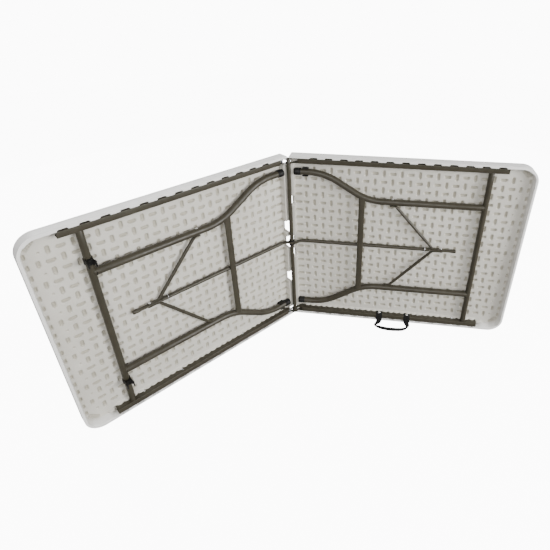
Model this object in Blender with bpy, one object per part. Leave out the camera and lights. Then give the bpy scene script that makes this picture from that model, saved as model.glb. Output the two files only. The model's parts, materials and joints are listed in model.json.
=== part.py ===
"""Fold-in-half picnic table, standing on one long edge with its legs folded and its halves half open.

Each half is a moulded panel with two steel side rails, a wishbone leg frame on a pivot tube, and a
centre brace that joins the leg frame through a fork. Both halves turn on one fold tube. Lengths are
in metres and angles in degrees.

Each half is drawn in its own frame: u runs from the fold to the outer end, n from the underside rim
to the table top, and w from the edge it stands on to the other long edge.
"""

from math import asin, cos, degrees, hypot, pi, radians, sin

import bmesh
import bpy
from mathutils import Vector

# Overall sizes of one half and of the opening between the halves.
HALF_LENGTH = 0.914
WIDTH = 0.762
THICKNESS = 0.044
HALF_OPENING = 64.0
GAP = 0.0003
MID = WIDTH / 2

# Moulded panel.
FOLD_GAP = 0.0015
CORNER_RADIUS = 0.060
FLOOR_N = 0.030
RIM = 0.010
END_RIM = 0.008
TOP_EDGE_RADIUS = 0.006
RIM_EDGE_RADIUS = 0.0015
LIP_TOP_N = 0.0085
LIP_END_U = 0.0155
RAIL_POCKET_W = 0.036
BRACE_POCKET = 0.027
LIP_GAPS = {
    "right": ((0.547, 0.590), (0.300, 0.345)),
    "left": ((0.430, 0.480), (0.180, 0.230)),
}

# Fold tube, which is also the hinge of both halves and of both braces.
HINGE_N = -0.002
FOLD_TUBE_RADIUS = 0.008
EYE_RADIUS = 0.012
COLLAR_RADIUS = 0.0112
COLLAR_LENGTH = 0.006

# Side rails: channels that open towards the panel.
RAIL_INSET = 0.0105
RAIL_WIDTH = 0.020
RAIL_FRONT_N = 0.0005
RAIL_START_U = 0.030
RAIL_END_U = 0.809
SHEET = 0.0015
HINGE_PLATE_END_U = 0.092
HINGE_PLATE_INSET = 0.0124

# Leg frames.
LEG_N = 0.0135
LEG_RADIUS = 0.0127
PIVOT_U = 0.7513
PIVOT_RADIUS = 0.011
LEG_SPACING = 0.2055
FOOT_SPACING = 0.3135
BEND_START_U = 0.074
BEND_RADIUS = 0.21
BEND_ANGLE = 32.0
CAP_START_U = 0.0178
CAP_LENGTH = 0.027
CAP_WALL = 0.0012
CAP_BORE = 0.0130
CAP_FLOOR = 0.004
CROSSBAR_U = 0.2853
CROSSBAR_N = 0.0059
CROSSBAR_HALF_WIDTH = 0.012
CROSSBAR_HALF_DEPTH = 0.0047
LEG_TURN = 90.0

# Centre braces and forks.
BRACE_N = 0.0185
BRACE_RADIUS = 0.0075
BRACE_EYE_W = 0.0029
BRACE_EYE_HALF = 0.0025
BRACE_END_U = 0.673
FORK_PIVOT_U = 0.403
FORK_RADIUS = 0.0063
FORK_FLAT_HALF = 0.0018
FORK_FLAT_T = 0.0061
TAB_HALF = 0.0023
RIVET_RADIUS = 0.0052
RIVET_HEIGHT = 0.0022

# Lock rings.
RING_U = 0.548
RING_WIRE = 0.0012
RING_HALF_N = 0.0093
RING_HALF_W = 0.0140
RING_CORNER = 0.0052
RING_DROP = 0.0045

# Clips that hold the closed halves together, and clips that hold a folded leg.
CLIP_OFFSET_W = 0.250
CLIP_LENGTH = 0.018
CLIP_WALL = 0.0026
CLIP_MOUTH = 50.0
RETAINER_START_U = {"right": 0.050, "left": 0.049}
RETAINER_LENGTH = 0.024
RETAINER_WALL = 0.0028
RETAINER_TOP_N = 0.0035

# Carry handle on the right half's lower rail.
HANDLE_US = (0.386, 0.508)
STRAP_WIDTH = 0.026
STRAP_THICKNESS = 0.002
HANDLE_N = -0.0018
HANDLE_W = 0.0120

SIDES = 16
FINE_SIDES = 24

COLOURS = {
    "panel_plastic": ((0.80, 0.80, 0.78), 0.48, 0.0),
    "frame_steel": ((0.105, 0.096, 0.071), 0.42, 0.35),
    "black_plastic": ((0.012, 0.012, 0.012), 0.45, 0.0),
    "zinc_steel": ((0.62, 0.63, 0.65), 0.28, 1.0),
    "black_webbing": ((0.010, 0.010, 0.011), 0.85, 0.0),
}


def clear_scene():
    for obj in list(bpy.data.objects):
        bpy.data.objects.remove(obj, do_unlink=True)


def make_material(name):
    colour, roughness, metallic = COLOURS[name]
    material = bpy.data.materials.new(name)
    material.use_nodes = True
    shader = material.node_tree.nodes["Principled BSDF"]
    shader.inputs["Base Color"].default_value = (*colour, 1.0)
    shader.inputs["Roughness"].default_value = roughness
    shader.inputs["Metallic"].default_value = metallic
    return material


def make_empty(name, location, parent=None, turn=0.0):
    empty = bpy.data.objects.new(name, None)
    empty.empty_display_size = 0.03
    empty.location = location
    empty.rotation_euler.z = radians(turn)
    empty.parent = parent
    bpy.context.scene.collection.objects.link(empty)
    return empty


class Place:
    """A spot of one half's frame that pieces are drawn around: an empty, and the sign of its u axis."""

    def __init__(self, name, side, origin, parent):
        self.side = side
        self.sign = 1.0 if side == "right" else -1.0
        self.origin = Vector(origin)
        self.empty = make_empty(name, self.flat(self.origin - parent.origin), parent.empty)

    def flat(self, point):
        return Vector((self.sign * point[0], point[1], point[2]))

    def local(self, u, n, w):
        return self.flat(Vector((u, n, w)) - self.origin)


class HalfPlace(Place):
    """The frame of a whole half, whose origin is on the fold axis."""

    def __init__(self, side, fold):
        self.side = side
        self.sign = 1.0 if side == "right" else -1.0
        self.origin = Vector((0.0, HINGE_N, 0.0))
        turn = -self.sign * (90.0 - HALF_OPENING)
        self.empty = make_empty(f"{side}_half_frame", (0, 0, 0), fold, turn)


def add_object(name, bm, place, material=None):
    bmesh.ops.recalc_face_normals(bm, faces=bm.faces)
    mesh = bpy.data.meshes.new(name)
    bm.to_mesh(mesh)
    bm.free()
    obj = bpy.data.objects.new(name, mesh)
    obj.parent = place.empty
    bpy.context.scene.collection.objects.link(obj)
    if material:
        mesh.materials.append(material)
        mesh.shade_smooth()
        mesh.set_sharp_from_angle(angle=radians(35))
    return obj


def cut(target, bm, place):
    """Takes the shape in bm away from the target with a live Boolean."""
    count = sum(1 for modifier in target.modifiers if modifier.type == "BOOLEAN")
    cutter = add_object(f"cutter_{target.name}_{count}", bm, place)
    cutter.hide_render = True
    cutter.display_type = "WIRE"
    modifier = target.modifiers.new("Cut", "BOOLEAN")
    modifier.operation = "DIFFERENCE"
    modifier.solver = "EXACT"
    modifier.object = cutter


def prism(place, outline, along, low, high):
    """A solid from an outline. Along n the outline holds (u, w), along w (u, n), along u (n, w)."""
    point_at = {
        "n": lambda a, b, h: place.local(a, h, b),
        "w": lambda a, b, h: place.local(a, b, h),
        "u": lambda a, b, h: place.local(h, a, b),
    }[along]
    bm = bmesh.new()
    lower = [bm.verts.new(point_at(a, b, low)) for a, b in outline]
    upper = [bm.verts.new(point_at(a, b, high)) for a, b in outline]
    bm.faces.new(lower)
    bm.faces.new(upper)
    for i in range(len(outline)):
        j = (i + 1) % len(outline)
        bm.faces.new((lower[i], lower[j], upper[j], upper[i]))
    return bm


def rectangle(a0, b0, a1, b1):
    return [(a0, b0), (a1, b0), (a1, b1), (a0, b1)]


def arc(centre, radius, start, end, steps):
    """Points on a circle from one angle to another, both ends included."""
    angles = [radians(start + (end - start) * i / steps) for i in range(steps + 1)]
    return [(centre[0] + radius * cos(a), centre[1] + radius * sin(a)) for a in angles]


def circle(centre, radius, sides):
    return arc(centre, radius, 0.0, 360.0, sides)[:-1]


def loft(rings, joined=False):
    """A solid through rings of points: capped at both ends, or joined end to end."""
    bm = bmesh.new()
    loops = [[bm.verts.new(point) for point in ring] for ring in rings]
    pairs = list(zip(loops, loops[1:]))
    if joined:
        pairs.append((loops[-1], loops[0]))
    for first, second in pairs:
        for i in range(len(first)):
            j = (i + 1) % len(first)
            bm.faces.new((first[i], first[j], second[j], second[i]))
    if not joined:
        bm.faces.new(loops[0])
        bm.faces.new(loops[-1])
    return bm


def section(centre, tangent, up, half_side, half_up, power, sides):
    """One ring of a swept piece: an oval, boxier as power goes up."""
    side = tangent.cross(up).normalized()
    over = side.cross(tangent).normalized()
    ring = []
    for k in range(sides):
        angle = 2 * pi * (k + 0.5) / sides
        c, s = cos(angle), sin(angle)
        a = half_side * abs(c) ** (2 / power) * (1 if c >= 0 else -1)
        b = half_up * abs(s) ** (2 / power) * (1 if s >= 0 else -1)
        ring.append(centre + side * a + over * b)
    return ring


def sweep(place, stations, up, sides=SIDES, joined=False):
    """A solid along stations of (u, n, w, half size across, half size along up, power)."""
    centres = [place.local(*station[:3]) for station in stations]
    up = place.flat(Vector(up))
    last = len(stations) - 1
    rings = []
    for i, station in enumerate(stations):
        if joined:
            before, after = centres[i - 1], centres[(i + 1) % len(centres)]
        else:
            before, after = centres[max(i - 1, 0)], centres[min(i + 1, last)]
        tangent = (after - before).normalized()
        rings.append(section(centres[i], tangent, up, *station[3:6], sides))
    return loft(rings, joined)


ALONG_U, ALONG_N, ALONG_W = (1, 0, 0), (0, 1, 0), (0, 0, 1)


def round_bar(place, start, end, radius, up, sides=SIDES):
    stations = [(*start, radius, radius, 2.0), (*end, radius, radius, 2.0)]
    return sweep(place, stations, up, sides)


# ---------------------------------------------------------------- linkage


def brace_reach(joint_u):
    """Length of brace and fork in line, with their joint at joint_u when folded."""
    brace = hypot(joint_u, BRACE_N - HINGE_N)
    fork = hypot(joint_u - FORK_PIVOT_U, BRACE_N - LEG_N)
    return brace + fork


def brace_joint_u():
    """Where brace and fork meet, so that the two lie in line when the leg has made its full turn."""
    swing = radians(180.0 + LEG_TURN)
    arm = PIVOT_U - FORK_PIVOT_U
    needed = hypot(PIVOT_U + arm * cos(swing), LEG_N + arm * sin(swing) - HINGE_N)
    low, high = FORK_PIVOT_U, PIVOT_U
    for _ in range(50):
        middle = (low + high) / 2
        if brace_reach(middle) < needed:
            low = middle
        else:
            high = middle
    return low


JOINT_U = brace_joint_u()


# ---------------------------------------------------------------- panels


def panel_outline():
    """Outer outline in (u, w): square at the fold, round at the outer corners."""
    inner = HALF_LENGTH - CORNER_RADIUS
    points = [(FOLD_GAP, 0.0)]
    points += arc((inner, CORNER_RADIUS), CORNER_RADIUS, -90, 0, 8)
    points += arc((inner, WIDTH - CORNER_RADIUS), CORNER_RADIUS, 0, 90, 8)
    points.append((FOLD_GAP, WIDTH))
    return points


def recess_outline(side):
    """Outline in (u, w) of the hollow underside, with the gaps in the lip along the fold."""
    radius = CORNER_RADIUS - RIM
    inner = HALF_LENGTH - END_RIM - radius
    points = arc((inner, RIM + radius), radius, -90, 0, 8)
    points += arc((inner, WIDTH - RIM - radius), radius, 0, 90, 8)
    gaps = [(WIDTH - RAIL_POCKET_W, WIDTH - RIM)]
    gaps += [(MID - BRACE_POCKET, MID + BRACE_POCKET), (RIM, RAIL_POCKET_W)]
    gaps = sorted(gaps + list(LIP_GAPS[side]), reverse=True)
    outside = -0.05
    for low, high in gaps:
        if high < WIDTH - RIM:
            points.append((LIP_END_U, high))
        points += [(outside, high), (outside, low)]
        if low > RIM:
            points.append((LIP_END_U, low))
    return points


def round_edges(bm, n, offset, segments):
    """Rounds the edges of the outline at height n above the fold axis."""
    bmesh.ops.recalc_face_normals(bm, faces=bm.faces)
    edges = [e for e in bm.edges if all(abs(v.co.y - n) < 1e-6 for v in e.verts)]
    bmesh.ops.bevel(bm, geom=edges, offset=offset, segments=segments, profile=0.5, affect="EDGES")


def make_panel(half, material):
    bm = prism(half, panel_outline(), "n", 0.0, THICKNESS)
    round_edges(bm, THICKNESS - HINGE_N, TOP_EDGE_RADIUS, 3)
    round_edges(bm, -HINGE_N, RIM_EDGE_RADIUS, 2)
    panel = add_object(f"{half.side}_top_panel", bm, half, material)
    cut(panel, prism(half, recess_outline(half.side), "n", -0.05, FLOOR_N), half)
    lip = rectangle(-0.04, RAIL_POCKET_W / 2, LIP_END_U + 0.001, WIDTH - RAIL_POCKET_W / 2)
    cut(panel, prism(half, lip, "n", -0.06, LIP_TOP_N), half)


# ---------------------------------------------------------------- rails and hinge plates


def eye_outline(end_u, front_n, back_n):
    """Side view in (u, n) of a flange that ends in an eye round the fold tube."""
    centre = (0.0, HINGE_N)
    start = degrees(asin((RAIL_FRONT_N - HINGE_N) / EYE_RADIUS)) - 30.0
    neck_u = 0.0150
    points = [(neck_u, front_n), (end_u, front_n), (end_u, back_n)]
    points += [(RAIL_START_U, back_n), (neck_u, back_n - 0.012)]
    points += arc(centre, EYE_RADIUS, 80.0, 360.0 + start, 18)
    return points


def channel(half, name, outline, insets, web, upper, material):
    """A channel whose flanges follow the outline. The insets are measured from the long edge.

    The web starts at web[0] along the half and its back is at the height web[1]."""
    near, far = insets
    web_start, web_back = web

    def across(inset):
        return WIDTH - inset if upper else inset

    low, high = sorted((across(near), across(far)))
    obj = add_object(name, prism(half, outline, "w", low, high), half, material)
    hollow = [(-0.05, -0.05), (web_start, -0.05), (web_start, web_back), (0.95, web_back)]
    hollow += [(0.95, 0.08), (-0.05, 0.08)]
    cut(obj, prism(half, hollow, "w", low + SHEET, high - SHEET), half)
    return obj


def make_rail(half, upper, material):
    level = "upper" if upper else "lower"
    back_n = FLOOR_N - GAP
    if half.side == "right":
        outline = eye_outline(RAIL_END_U, RAIL_FRONT_N, back_n)
    else:
        outline = rectangle(RAIL_START_U, RAIL_FRONT_N, RAIL_END_U, back_n)
    insets = (RAIL_INSET, RAIL_INSET + RAIL_WIDTH)
    name = f"{half.side}_{level}_rail"
    web = (RAIL_START_U + 0.006, RAIL_FRONT_N + SHEET)
    rail = channel(half, name, outline, insets, web, upper, material)
    far = WIDTH - insets[1] if upper else insets[1]
    hole = circle((PIVOT_U, LEG_N), PIVOT_RADIUS + GAP, FINE_SIDES)
    cut(rail, prism(half, hole, "w", far - 0.004, far + 0.004), half)
    if half.side == "right":
        low, high = (WIDTH - 0.035, WIDTH) if upper else (0.0, 0.035)
        eye = circle((0.0, HINGE_N), FOLD_TUBE_RADIUS + GAP, FINE_SIDES)
        cut(rail, prism(half, eye, "w", low, high), half)


def make_hinge_plate(half, upper, material):
    """The bracket inside each left rail that carries the left half on the fold tube."""
    level = "upper" if upper else "lower"
    back_n = FLOOR_N - 0.006
    outline = eye_outline(HINGE_PLATE_END_U, RAIL_FRONT_N + SHEET + GAP, back_n)
    insets = (HINGE_PLATE_INSET, 2 * RAIL_INSET + RAIL_WIDTH - HINGE_PLATE_INSET)
    name = f"{half.side}_{level}_hinge_plate"
    web = (RAIL_START_U + 0.004, RAIL_FRONT_N + 2 * SHEET + GAP)
    plate = channel(half, name, outline, insets, web, upper, material)
    low, high = (WIDTH - 0.035, WIDTH) if upper else (0.0, 0.035)
    eye = circle((0.0, HINGE_N), FOLD_TUBE_RADIUS + GAP, FINE_SIDES)
    cut(plate, prism(half, eye, "w", low, high), half)


def make_hinge_bolt(half, upper, material):
    """The bolt that spans the hinge plate's two ears beside the fold tube."""
    level = "upper" if upper else "lower"
    near = HINGE_PLATE_INSET + SHEET + GAP
    far = 2 * RAIL_INSET + RAIL_WIDTH - near
    low, high = (WIDTH - far, WIDTH - near) if upper else (near, far)
    outline = circle((0.0215, 0.0090), 0.0045, SIDES)
    add_object(f"{half.side}_{level}_hinge_bolt", prism(half, outline, "w", low, high), half, material)


def make_fold_tube(half, material):
    start = (0.0, HINGE_N, RAIL_INSET + GAP)
    end = (0.0, HINGE_N, WIDTH - RAIL_INSET - GAP)
    bm = round_bar(half, start, end, FOLD_TUBE_RADIUS, ALONG_N, FINE_SIDES)
    add_object("fold_tube", bm, half, material)


def make_collar(half, upper, material):
    """A plastic ring on the fold tube that keeps the two brace eyes together."""
    level = "upper" if upper else "lower"
    near = BRACE_EYE_W + BRACE_EYE_HALF + GAP
    bore, outer = FOLD_TUBE_RADIUS + GAP, COLLAR_RADIUS
    rings = []
    for radius, out in ((bore, near), (outer, near), (outer, near + COLLAR_LENGTH), (bore, near + COLLAR_LENGTH)):
        w = MID + out if upper else MID - out
        rings.append([half.local(u, n, w) for u, n in circle((0.0, HINGE_N), radius, FINE_SIDES)])
    add_object(f"fold_collar_{level}", loft(rings, joined=True), half, material)


def make_retainer(half, upper, material):
    """The open clip on the panel that one folded leg lies in."""
    w = MID + (FOOT_SPACING if upper else -FOOT_SPACING)
    inner = LEG_RADIUS + GAP
    outer = inner + RETAINER_WALL
    base = FLOOR_N - GAP
    points = [(RETAINER_TOP_N, w - outer), (base - 0.003, w - outer), (base, w - outer + 0.003)]
    points += [(base, w + outer - 0.003), (base - 0.003, w + outer), (RETAINER_TOP_N, w + outer)]
    points.append((RETAINER_TOP_N, w + inner))
    points += arc((LEG_N, w), inner, 90, -90, 12)
    points.append((RETAINER_TOP_N, w - inner))
    start = RETAINER_START_U[half.side]
    bm = prism(half, points, "u", start, start + RETAINER_LENGTH)
    add_object(f"{half.side}_leg_retainer", bm, half, material)


# ---------------------------------------------------------------- leg frames


def leg_path():
    """Centre line of a leg in (u, distance from the middle), from the foot to the pivot tube."""
    turn = radians(BEND_ANGLE)
    rise = FOOT_SPACING - LEG_SPACING
    straight = (rise - 2 * BEND_RADIUS * (1 - cos(turn))) / sin(turn)
    end_u = BEND_START_U + 2 * BEND_RADIUS * sin(turn) + straight * cos(turn)
    first = arc((BEND_START_U, FOOT_SPACING - BEND_RADIUS), BEND_RADIUS, 90, 90 - BEND_ANGLE, 8)
    second = arc((end_u, LEG_SPACING + BEND_RADIUS), BEND_RADIUS, -90 - BEND_ANGLE, -90, 8)
    start = (CAP_START_U + CAP_FLOOR + GAP, FOOT_SPACING)
    return [start, *first, *second, (PIVOT_U - 0.004, LEG_SPACING)]


def spacing_at(u):
    """Distance of the leg's centre line from the middle at u."""
    path = leg_path()
    for (u0, t0), (u1, t1) in zip(path, path[1:]):
        if u0 <= u <= u1:
            return t0 + (t1 - t0) * (u - u0) / (u1 - u0)
    return LEG_SPACING


def leg_solid(leg, radius, sign):
    stations = [(u, LEG_N, MID + sign * t, radius, radius, 2.0) for u, t in leg_path()]
    return sweep(leg, stations, ALONG_N, FINE_SIDES)


def make_leg_frame(leg, steel, black, zinc):
    side = leg.side
    start_w = RAIL_INSET + SHEET + GAP
    bottom, top = (PIVOT_U, LEG_N, start_w), (PIVOT_U, LEG_N, WIDTH - start_w)
    bar = round_bar(leg, bottom, top, PIVOT_RADIUS, ALONG_N, FINE_SIDES)
    add_object(f"{side}_pivot_tube", bar, leg, steel)
    half_span = spacing_at(CROSSBAR_U) - 0.002
    cross = [
        (CROSSBAR_U, CROSSBAR_N, MID + f * half_span, CROSSBAR_HALF_WIDTH + e, CROSSBAR_HALF_DEPTH, 2.6)
        for f, e in ((-1, 0.0015), (-0.93, 0.0015), (-0.85, 0.0), (0.85, 0.0), (0.93, 0.0015), (1, 0.0015))
    ]
    crossbar = add_object(f"{side}_leg_crossbar", sweep(leg, cross, ALONG_N, SIDES), leg, steel)
    for level, sign in (("upper", 1), ("lower", -1)):
        tube = add_object(f"{side}_leg_{level}", leg_solid(leg, LEG_RADIUS, sign), leg, steel)
        notch = round_bar(leg, bottom, top, PIVOT_RADIUS + GAP, ALONG_N, FINE_SIDES)
        cut(tube, notch, leg)
        cut(crossbar, leg_solid(leg, LEG_RADIUS + GAP, sign), leg)
        make_foot_cap(leg, level, sign, black)
        rivet_w = LEG_SPACING + LEG_RADIUS + GAP
        make_rivet(leg, f"{side}_leg_rivet_{level}", (FORK_PIVOT_U, LEG_N, rivet_w), sign, zinc)


def make_foot_cap(leg, level, sign, material):
    """A plastic cup over the open end of a leg."""
    centre_w = MID + sign * FOOT_SPACING
    outer, end_u = CAP_BORE + CAP_WALL, CAP_START_U + CAP_LENGTH
    profile = [(CAP_START_U, outer - 0.0024), (CAP_START_U + 0.0015, outer), (end_u, outer)]
    profile += [(end_u, CAP_BORE), (CAP_START_U + CAP_FLOOR, CAP_BORE)]
    rings = []
    for u, radius in profile:
        ring = circle((LEG_N, centre_w), radius, FINE_SIDES)
        rings.append([leg.local(u, n, w) for n, w in ring])
    add_object(f"{leg.side}_foot_cap_{level}", loft(rings), leg, material)


def make_rivet(place, name, spot, sign, material):
    """A domed rivet head whose flat side faces the middle of the table."""
    u, n, t = spot
    rings = []
    for share, height in ((1.0, 0.0), (1.0, 0.35), (0.82, 0.8), (0.45, 1.0)):
        ring = circle((u, n), RIVET_RADIUS * share, 12)
        w = MID + sign * (t + RIVET_HEIGHT * height)
        rings.append([place.local(a, b, w) for a, b in ring])
    add_object(name, loft(rings), place, material)


# ---------------------------------------------------------------- braces, forks and rings


def make_brace(brace, material):
    """The centre brace: a flattened eye on the fold tube, a cranked tube, a flat and a swelled tail."""
    sign = -brace.sign
    flat = JOINT_U - 0.047
    stations = [
        (-0.0118, HINGE_N, 1.0, 0.0040, BRACE_EYE_HALF, 3.5),
        (-0.0090, HINGE_N, 1.0, 0.0086, BRACE_EYE_HALF, 3.5),
        (-0.0040, HINGE_N, 1.0, 0.0116, BRACE_EYE_HALF, 3.5),
        (0.0060, HINGE_N + 0.0006, 1.0, 0.0118, BRACE_EYE_HALF, 3.5),
        (0.0130, HINGE_N + 0.0040, 1.0, 0.0112, BRACE_EYE_HALF, 3.5),
        (0.0190, HINGE_N + 0.0090, 1.0, 0.0102, 0.0026, 3.0),
        (0.0260, HINGE_N + 0.0148, 0.9, 0.0090, 0.0034, 2.8),
        (0.0350, HINGE_N + 0.0188, 0.6, 0.0080, 0.0050, 2.3),
        (0.0460, BRACE_N - 0.0004, 0.25, BRACE_RADIUS, 0.0068, 2.0),
        (0.0600, BRACE_N, 0.0, BRACE_RADIUS, BRACE_RADIUS, 2.0),
        (flat - 0.016, BRACE_N, 0.0, BRACE_RADIUS, BRACE_RADIUS, 2.0),
        (flat, BRACE_N, 0.0, 0.0078, 0.0040, 3.0),
        (JOINT_U + 0.036, BRACE_N, 0.0, 0.0078, 0.0040, 3.0),
        (JOINT_U + 0.044, BRACE_N, 0.0, BRACE_RADIUS, 0.0072, 2.2),
        (BRACE_END_U - 0.004, BRACE_N, 0.0, BRACE_RADIUS, 0.0072, 2.2),
        (BRACE_END_U, BRACE_N, 0.0, 0.0058, 0.0055, 2.0),
    ]
    placed = [(u, n, MID + sign * BRACE_EYE_W * f, a, b, p) for u, n, f, a, b, p in stations]
    obj = add_object(f"{brace.side}_centre_brace", sweep(brace, placed, ALONG_W), brace, material)
    eye = circle((0.0, HINGE_N), FOLD_TUBE_RADIUS + GAP, FINE_SIDES)
    cut(obj, prism(brace, eye, "w", MID - 0.02, MID + 0.02), brace)


def make_fork(fork, steel, zinc):
    """Two thin tubes, flattened at both ends, that run from the legs to the brace."""
    tab_t = LEG_SPACING - LEG_RADIUS - GAP - TAB_HALF
    bend_u = JOINT_U - 0.0292
    stations = [
        (FORK_PIVOT_U - 0.0085, LEG_N, tab_t, TAB_HALF, 0.0050, 3.0),
        (FORK_PIVOT_U - 0.0040, LEG_N, tab_t, TAB_HALF, 0.0072, 3.0),
        (FORK_PIVOT_U + 0.0070, LEG_N, tab_t, TAB_HALF, 0.0072, 3.0),
        (FORK_PIVOT_U + 0.0150, LEG_N, tab_t - 0.0030, 0.0035, 0.0070, 2.4),
        (FORK_PIVOT_U + 0.0250, LEG_N + 0.0004, tab_t - 0.0125, FORK_RADIUS, FORK_RADIUS, 2.0),
        (bend_u - 0.0150, BRACE_N - 0.0002, FORK_FLAT_T + 0.0125, FORK_RADIUS, FORK_RADIUS, 2.0),
        (bend_u - 0.0040, BRACE_N, FORK_FLAT_T + 0.0024, 0.0030, 0.0060, 2.6),
        (bend_u + 0.0020, BRACE_N, FORK_FLAT_T, FORK_FLAT_HALF, 0.0060, 3.0),
        (JOINT_U + 0.0050, BRACE_N, FORK_FLAT_T, FORK_FLAT_HALF, 0.0060, 3.0),
        (JOINT_U + 0.0090, BRACE_N, FORK_FLAT_T, FORK_FLAT_HALF, 0.0040, 3.0),
    ]
    for level, sign in (("upper", 1), ("lower", -1)):
        placed = [(u, n, MID + sign * t, a, b, p) for u, n, t, a, b, p in stations]
        add_object(f"{fork.side}_fork_{level}", sweep(fork, placed, ALONG_N, 12), fork, steel)
        rivet_t = FORK_FLAT_T + FORK_FLAT_HALF + GAP
        make_rivet(fork, f"{fork.side}_fork_rivet_{level}", (JOINT_U, BRACE_N, rivet_t), sign, zinc)


def make_ring(ring, material):
    """A wire ring that hangs on the brace, and slides over the joint to lock an open leg."""
    straight_n = RING_HALF_N - RING_CORNER
    straight_w = RING_HALF_W - RING_CORNER
    centre_w = MID - RING_DROP
    points = []
    for sn, sw, start in ((1, 1, 0), (-1, 1, 90), (-1, -1, 180), (1, -1, 270)):
        corner = (BRACE_N + sn * straight_n, centre_w + sw * straight_w)
        points += arc(corner, RING_CORNER, start, start + 90, 4)
    stations = [(RING_U, n, w, RING_WIRE, RING_WIRE, 2.0) for n, w in points]
    bm = sweep(ring, stations, ALONG_U, 8, joined=True)
    add_object(f"{ring.side}_lock_ring", bm, ring, material)


# ---------------------------------------------------------------- clips and handle


def clip_outline():
    """Two jaws back to back in (u, n): one round the left pivot tube, one for the right pivot tube."""
    inner = PIVOT_RADIUS + GAP
    outer = inner + CLIP_WALL
    near = (PIVOT_U, LEG_N)
    far = (PIVOT_U, 2 * HINGE_N - LEG_N)
    tip = 90.0 - CLIP_MOUTH
    points = arc(near, outer, tip, -38.0, 8)
    points += arc(far, outer, 38.0, -tip, 8)
    points += arc(far, inner, -tip, 180.0 + tip, 20)
    points += arc(far, outer, 180.0 + tip, 142.0, 8)
    points += arc(near, outer, 218.0, 180.0 - tip, 8)
    points += arc(near, inner, 180.0 - tip, 360.0 + tip, 20)
    return points


def make_closing_clip(clip, name, centre_w, material):
    low, high = centre_w - CLIP_LENGTH / 2, centre_w + CLIP_LENGTH / 2
    add_object(name, prism(clip, clip_outline(), "w", low, high), clip, material)


def make_handle_anchors(half, material, zinc):
    """The strap ends, riveted to the inner flange of the lower rail and folded over its front."""
    flange_w = RAIL_INSET + RAIL_WIDTH + GAP
    front_n = RAIL_FRONT_N - GAP
    outer_w = flange_w + STRAP_THICKNESS
    outer_n = front_n - STRAP_THICKNESS
    outline = [(0.024, flange_w), (0.024, outer_w), (outer_n + 0.001, outer_w)]
    outline += [(outer_n, outer_w - 0.001), (outer_n, HANDLE_W + 0.0035), (front_n, HANDLE_W + 0.0035)]
    outline.append((front_n, flange_w))
    for level, u in zip(("inner", "outer"), HANDLE_US):
        bm = prism(half, outline, "u", u - STRAP_WIDTH / 2, u + STRAP_WIDTH / 2)
        add_object(f"handle_anchor_{level}", bm, half, material)
        spot = (u, 0.0125, outer_w + GAP - MID)
        make_rivet(half, f"handle_rivet_{level}", spot, 1, zinc)


def make_handle(handle, material):
    """The free loop of the strap, lying on the floor in front of the edge."""
    inner_u, outer_u = HANDLE_US
    low = 0.0048
    stations = [
        (inner_u, HANDLE_N - 0.0016, HANDLE_W, 0.0118, 0.0009, 3.0),
        (inner_u - 0.0006, HANDLE_N - 0.0080, 0.0085, 0.0115, 0.0008, 3.0),
        (inner_u - 0.0032, -0.0220, low - 0.0008, 0.0090, 0.0010, 2.5),
        (inner_u - 0.0160, -0.0340, low - 0.0010, 0.0050, 0.0028, 2.2),
        (inner_u - 0.0130, -0.0430, low - 0.0004, 0.0045, 0.0036, 2.2),
        (inner_u + 0.0080, -0.0540, low, 0.0062, 0.0042, 2.2),
        (inner_u + 0.0520, -0.0600, low, 0.0068, 0.0043, 2.2),
        (outer_u - 0.0240, -0.0560, low, 0.0062, 0.0042, 2.2),
        (outer_u - 0.0060, -0.0470, low - 0.0004, 0.0045, 0.0036, 2.2),
        (outer_u + 0.0030, -0.0360, low - 0.0010, 0.0050, 0.0028, 2.2),
        (outer_u + 0.0040, -0.0220, low - 0.0008, 0.0090, 0.0010, 2.5),
        (outer_u + 0.0010, HANDLE_N - 0.0080, 0.0085, 0.0115, 0.0008, 3.0),
        (outer_u, HANDLE_N - 0.0016, HANDLE_W, 0.0118, 0.0009, 3.0),
    ]
    add_object("carry_handle", sweep(handle, stations, ALONG_W, 10), handle, material)


# ---------------------------------------------------------------- assembly


def fold_axis_y():
    """Puts the middle of the table's depth at y = 0."""
    angle = radians(HALF_OPENING)
    back = (THICKNESS - HINGE_N) * sin(angle) - (FOLD_GAP + TOP_EDGE_RADIUS) * cos(angle)
    front = -HINGE_N * sin(angle) - (HALF_LENGTH - RIM_EDGE_RADIUS) * cos(angle)
    return -(back + front) / 2


def make_half(half, materials):
    steel, black, zinc = (materials[key] for key in ("frame_steel", "black_plastic", "zinc_steel"))
    side = half.side
    make_panel(half, materials["panel_plastic"])
    for upper in (True, False):
        make_rail(half, upper, steel)
    make_retainer(half, side == "right", black)
    leg = Place(f"{side}_leg_axis", side, (PIVOT_U, LEG_N, 0.0), half)
    make_leg_frame(leg, steel, black, zinc)
    fork = Place(f"{side}_fork_axis", side, (FORK_PIVOT_U, LEG_N, MID), leg)
    make_fork(fork, steel, zinc)
    brace = Place(f"{side}_brace_axis", side, (0.0, HINGE_N, MID), half)
    make_brace(brace, steel)
    ring = Place(f"{side}_ring_axis", side, (RING_U, BRACE_N, MID), brace)
    make_ring(ring, zinc)
    return leg


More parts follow.
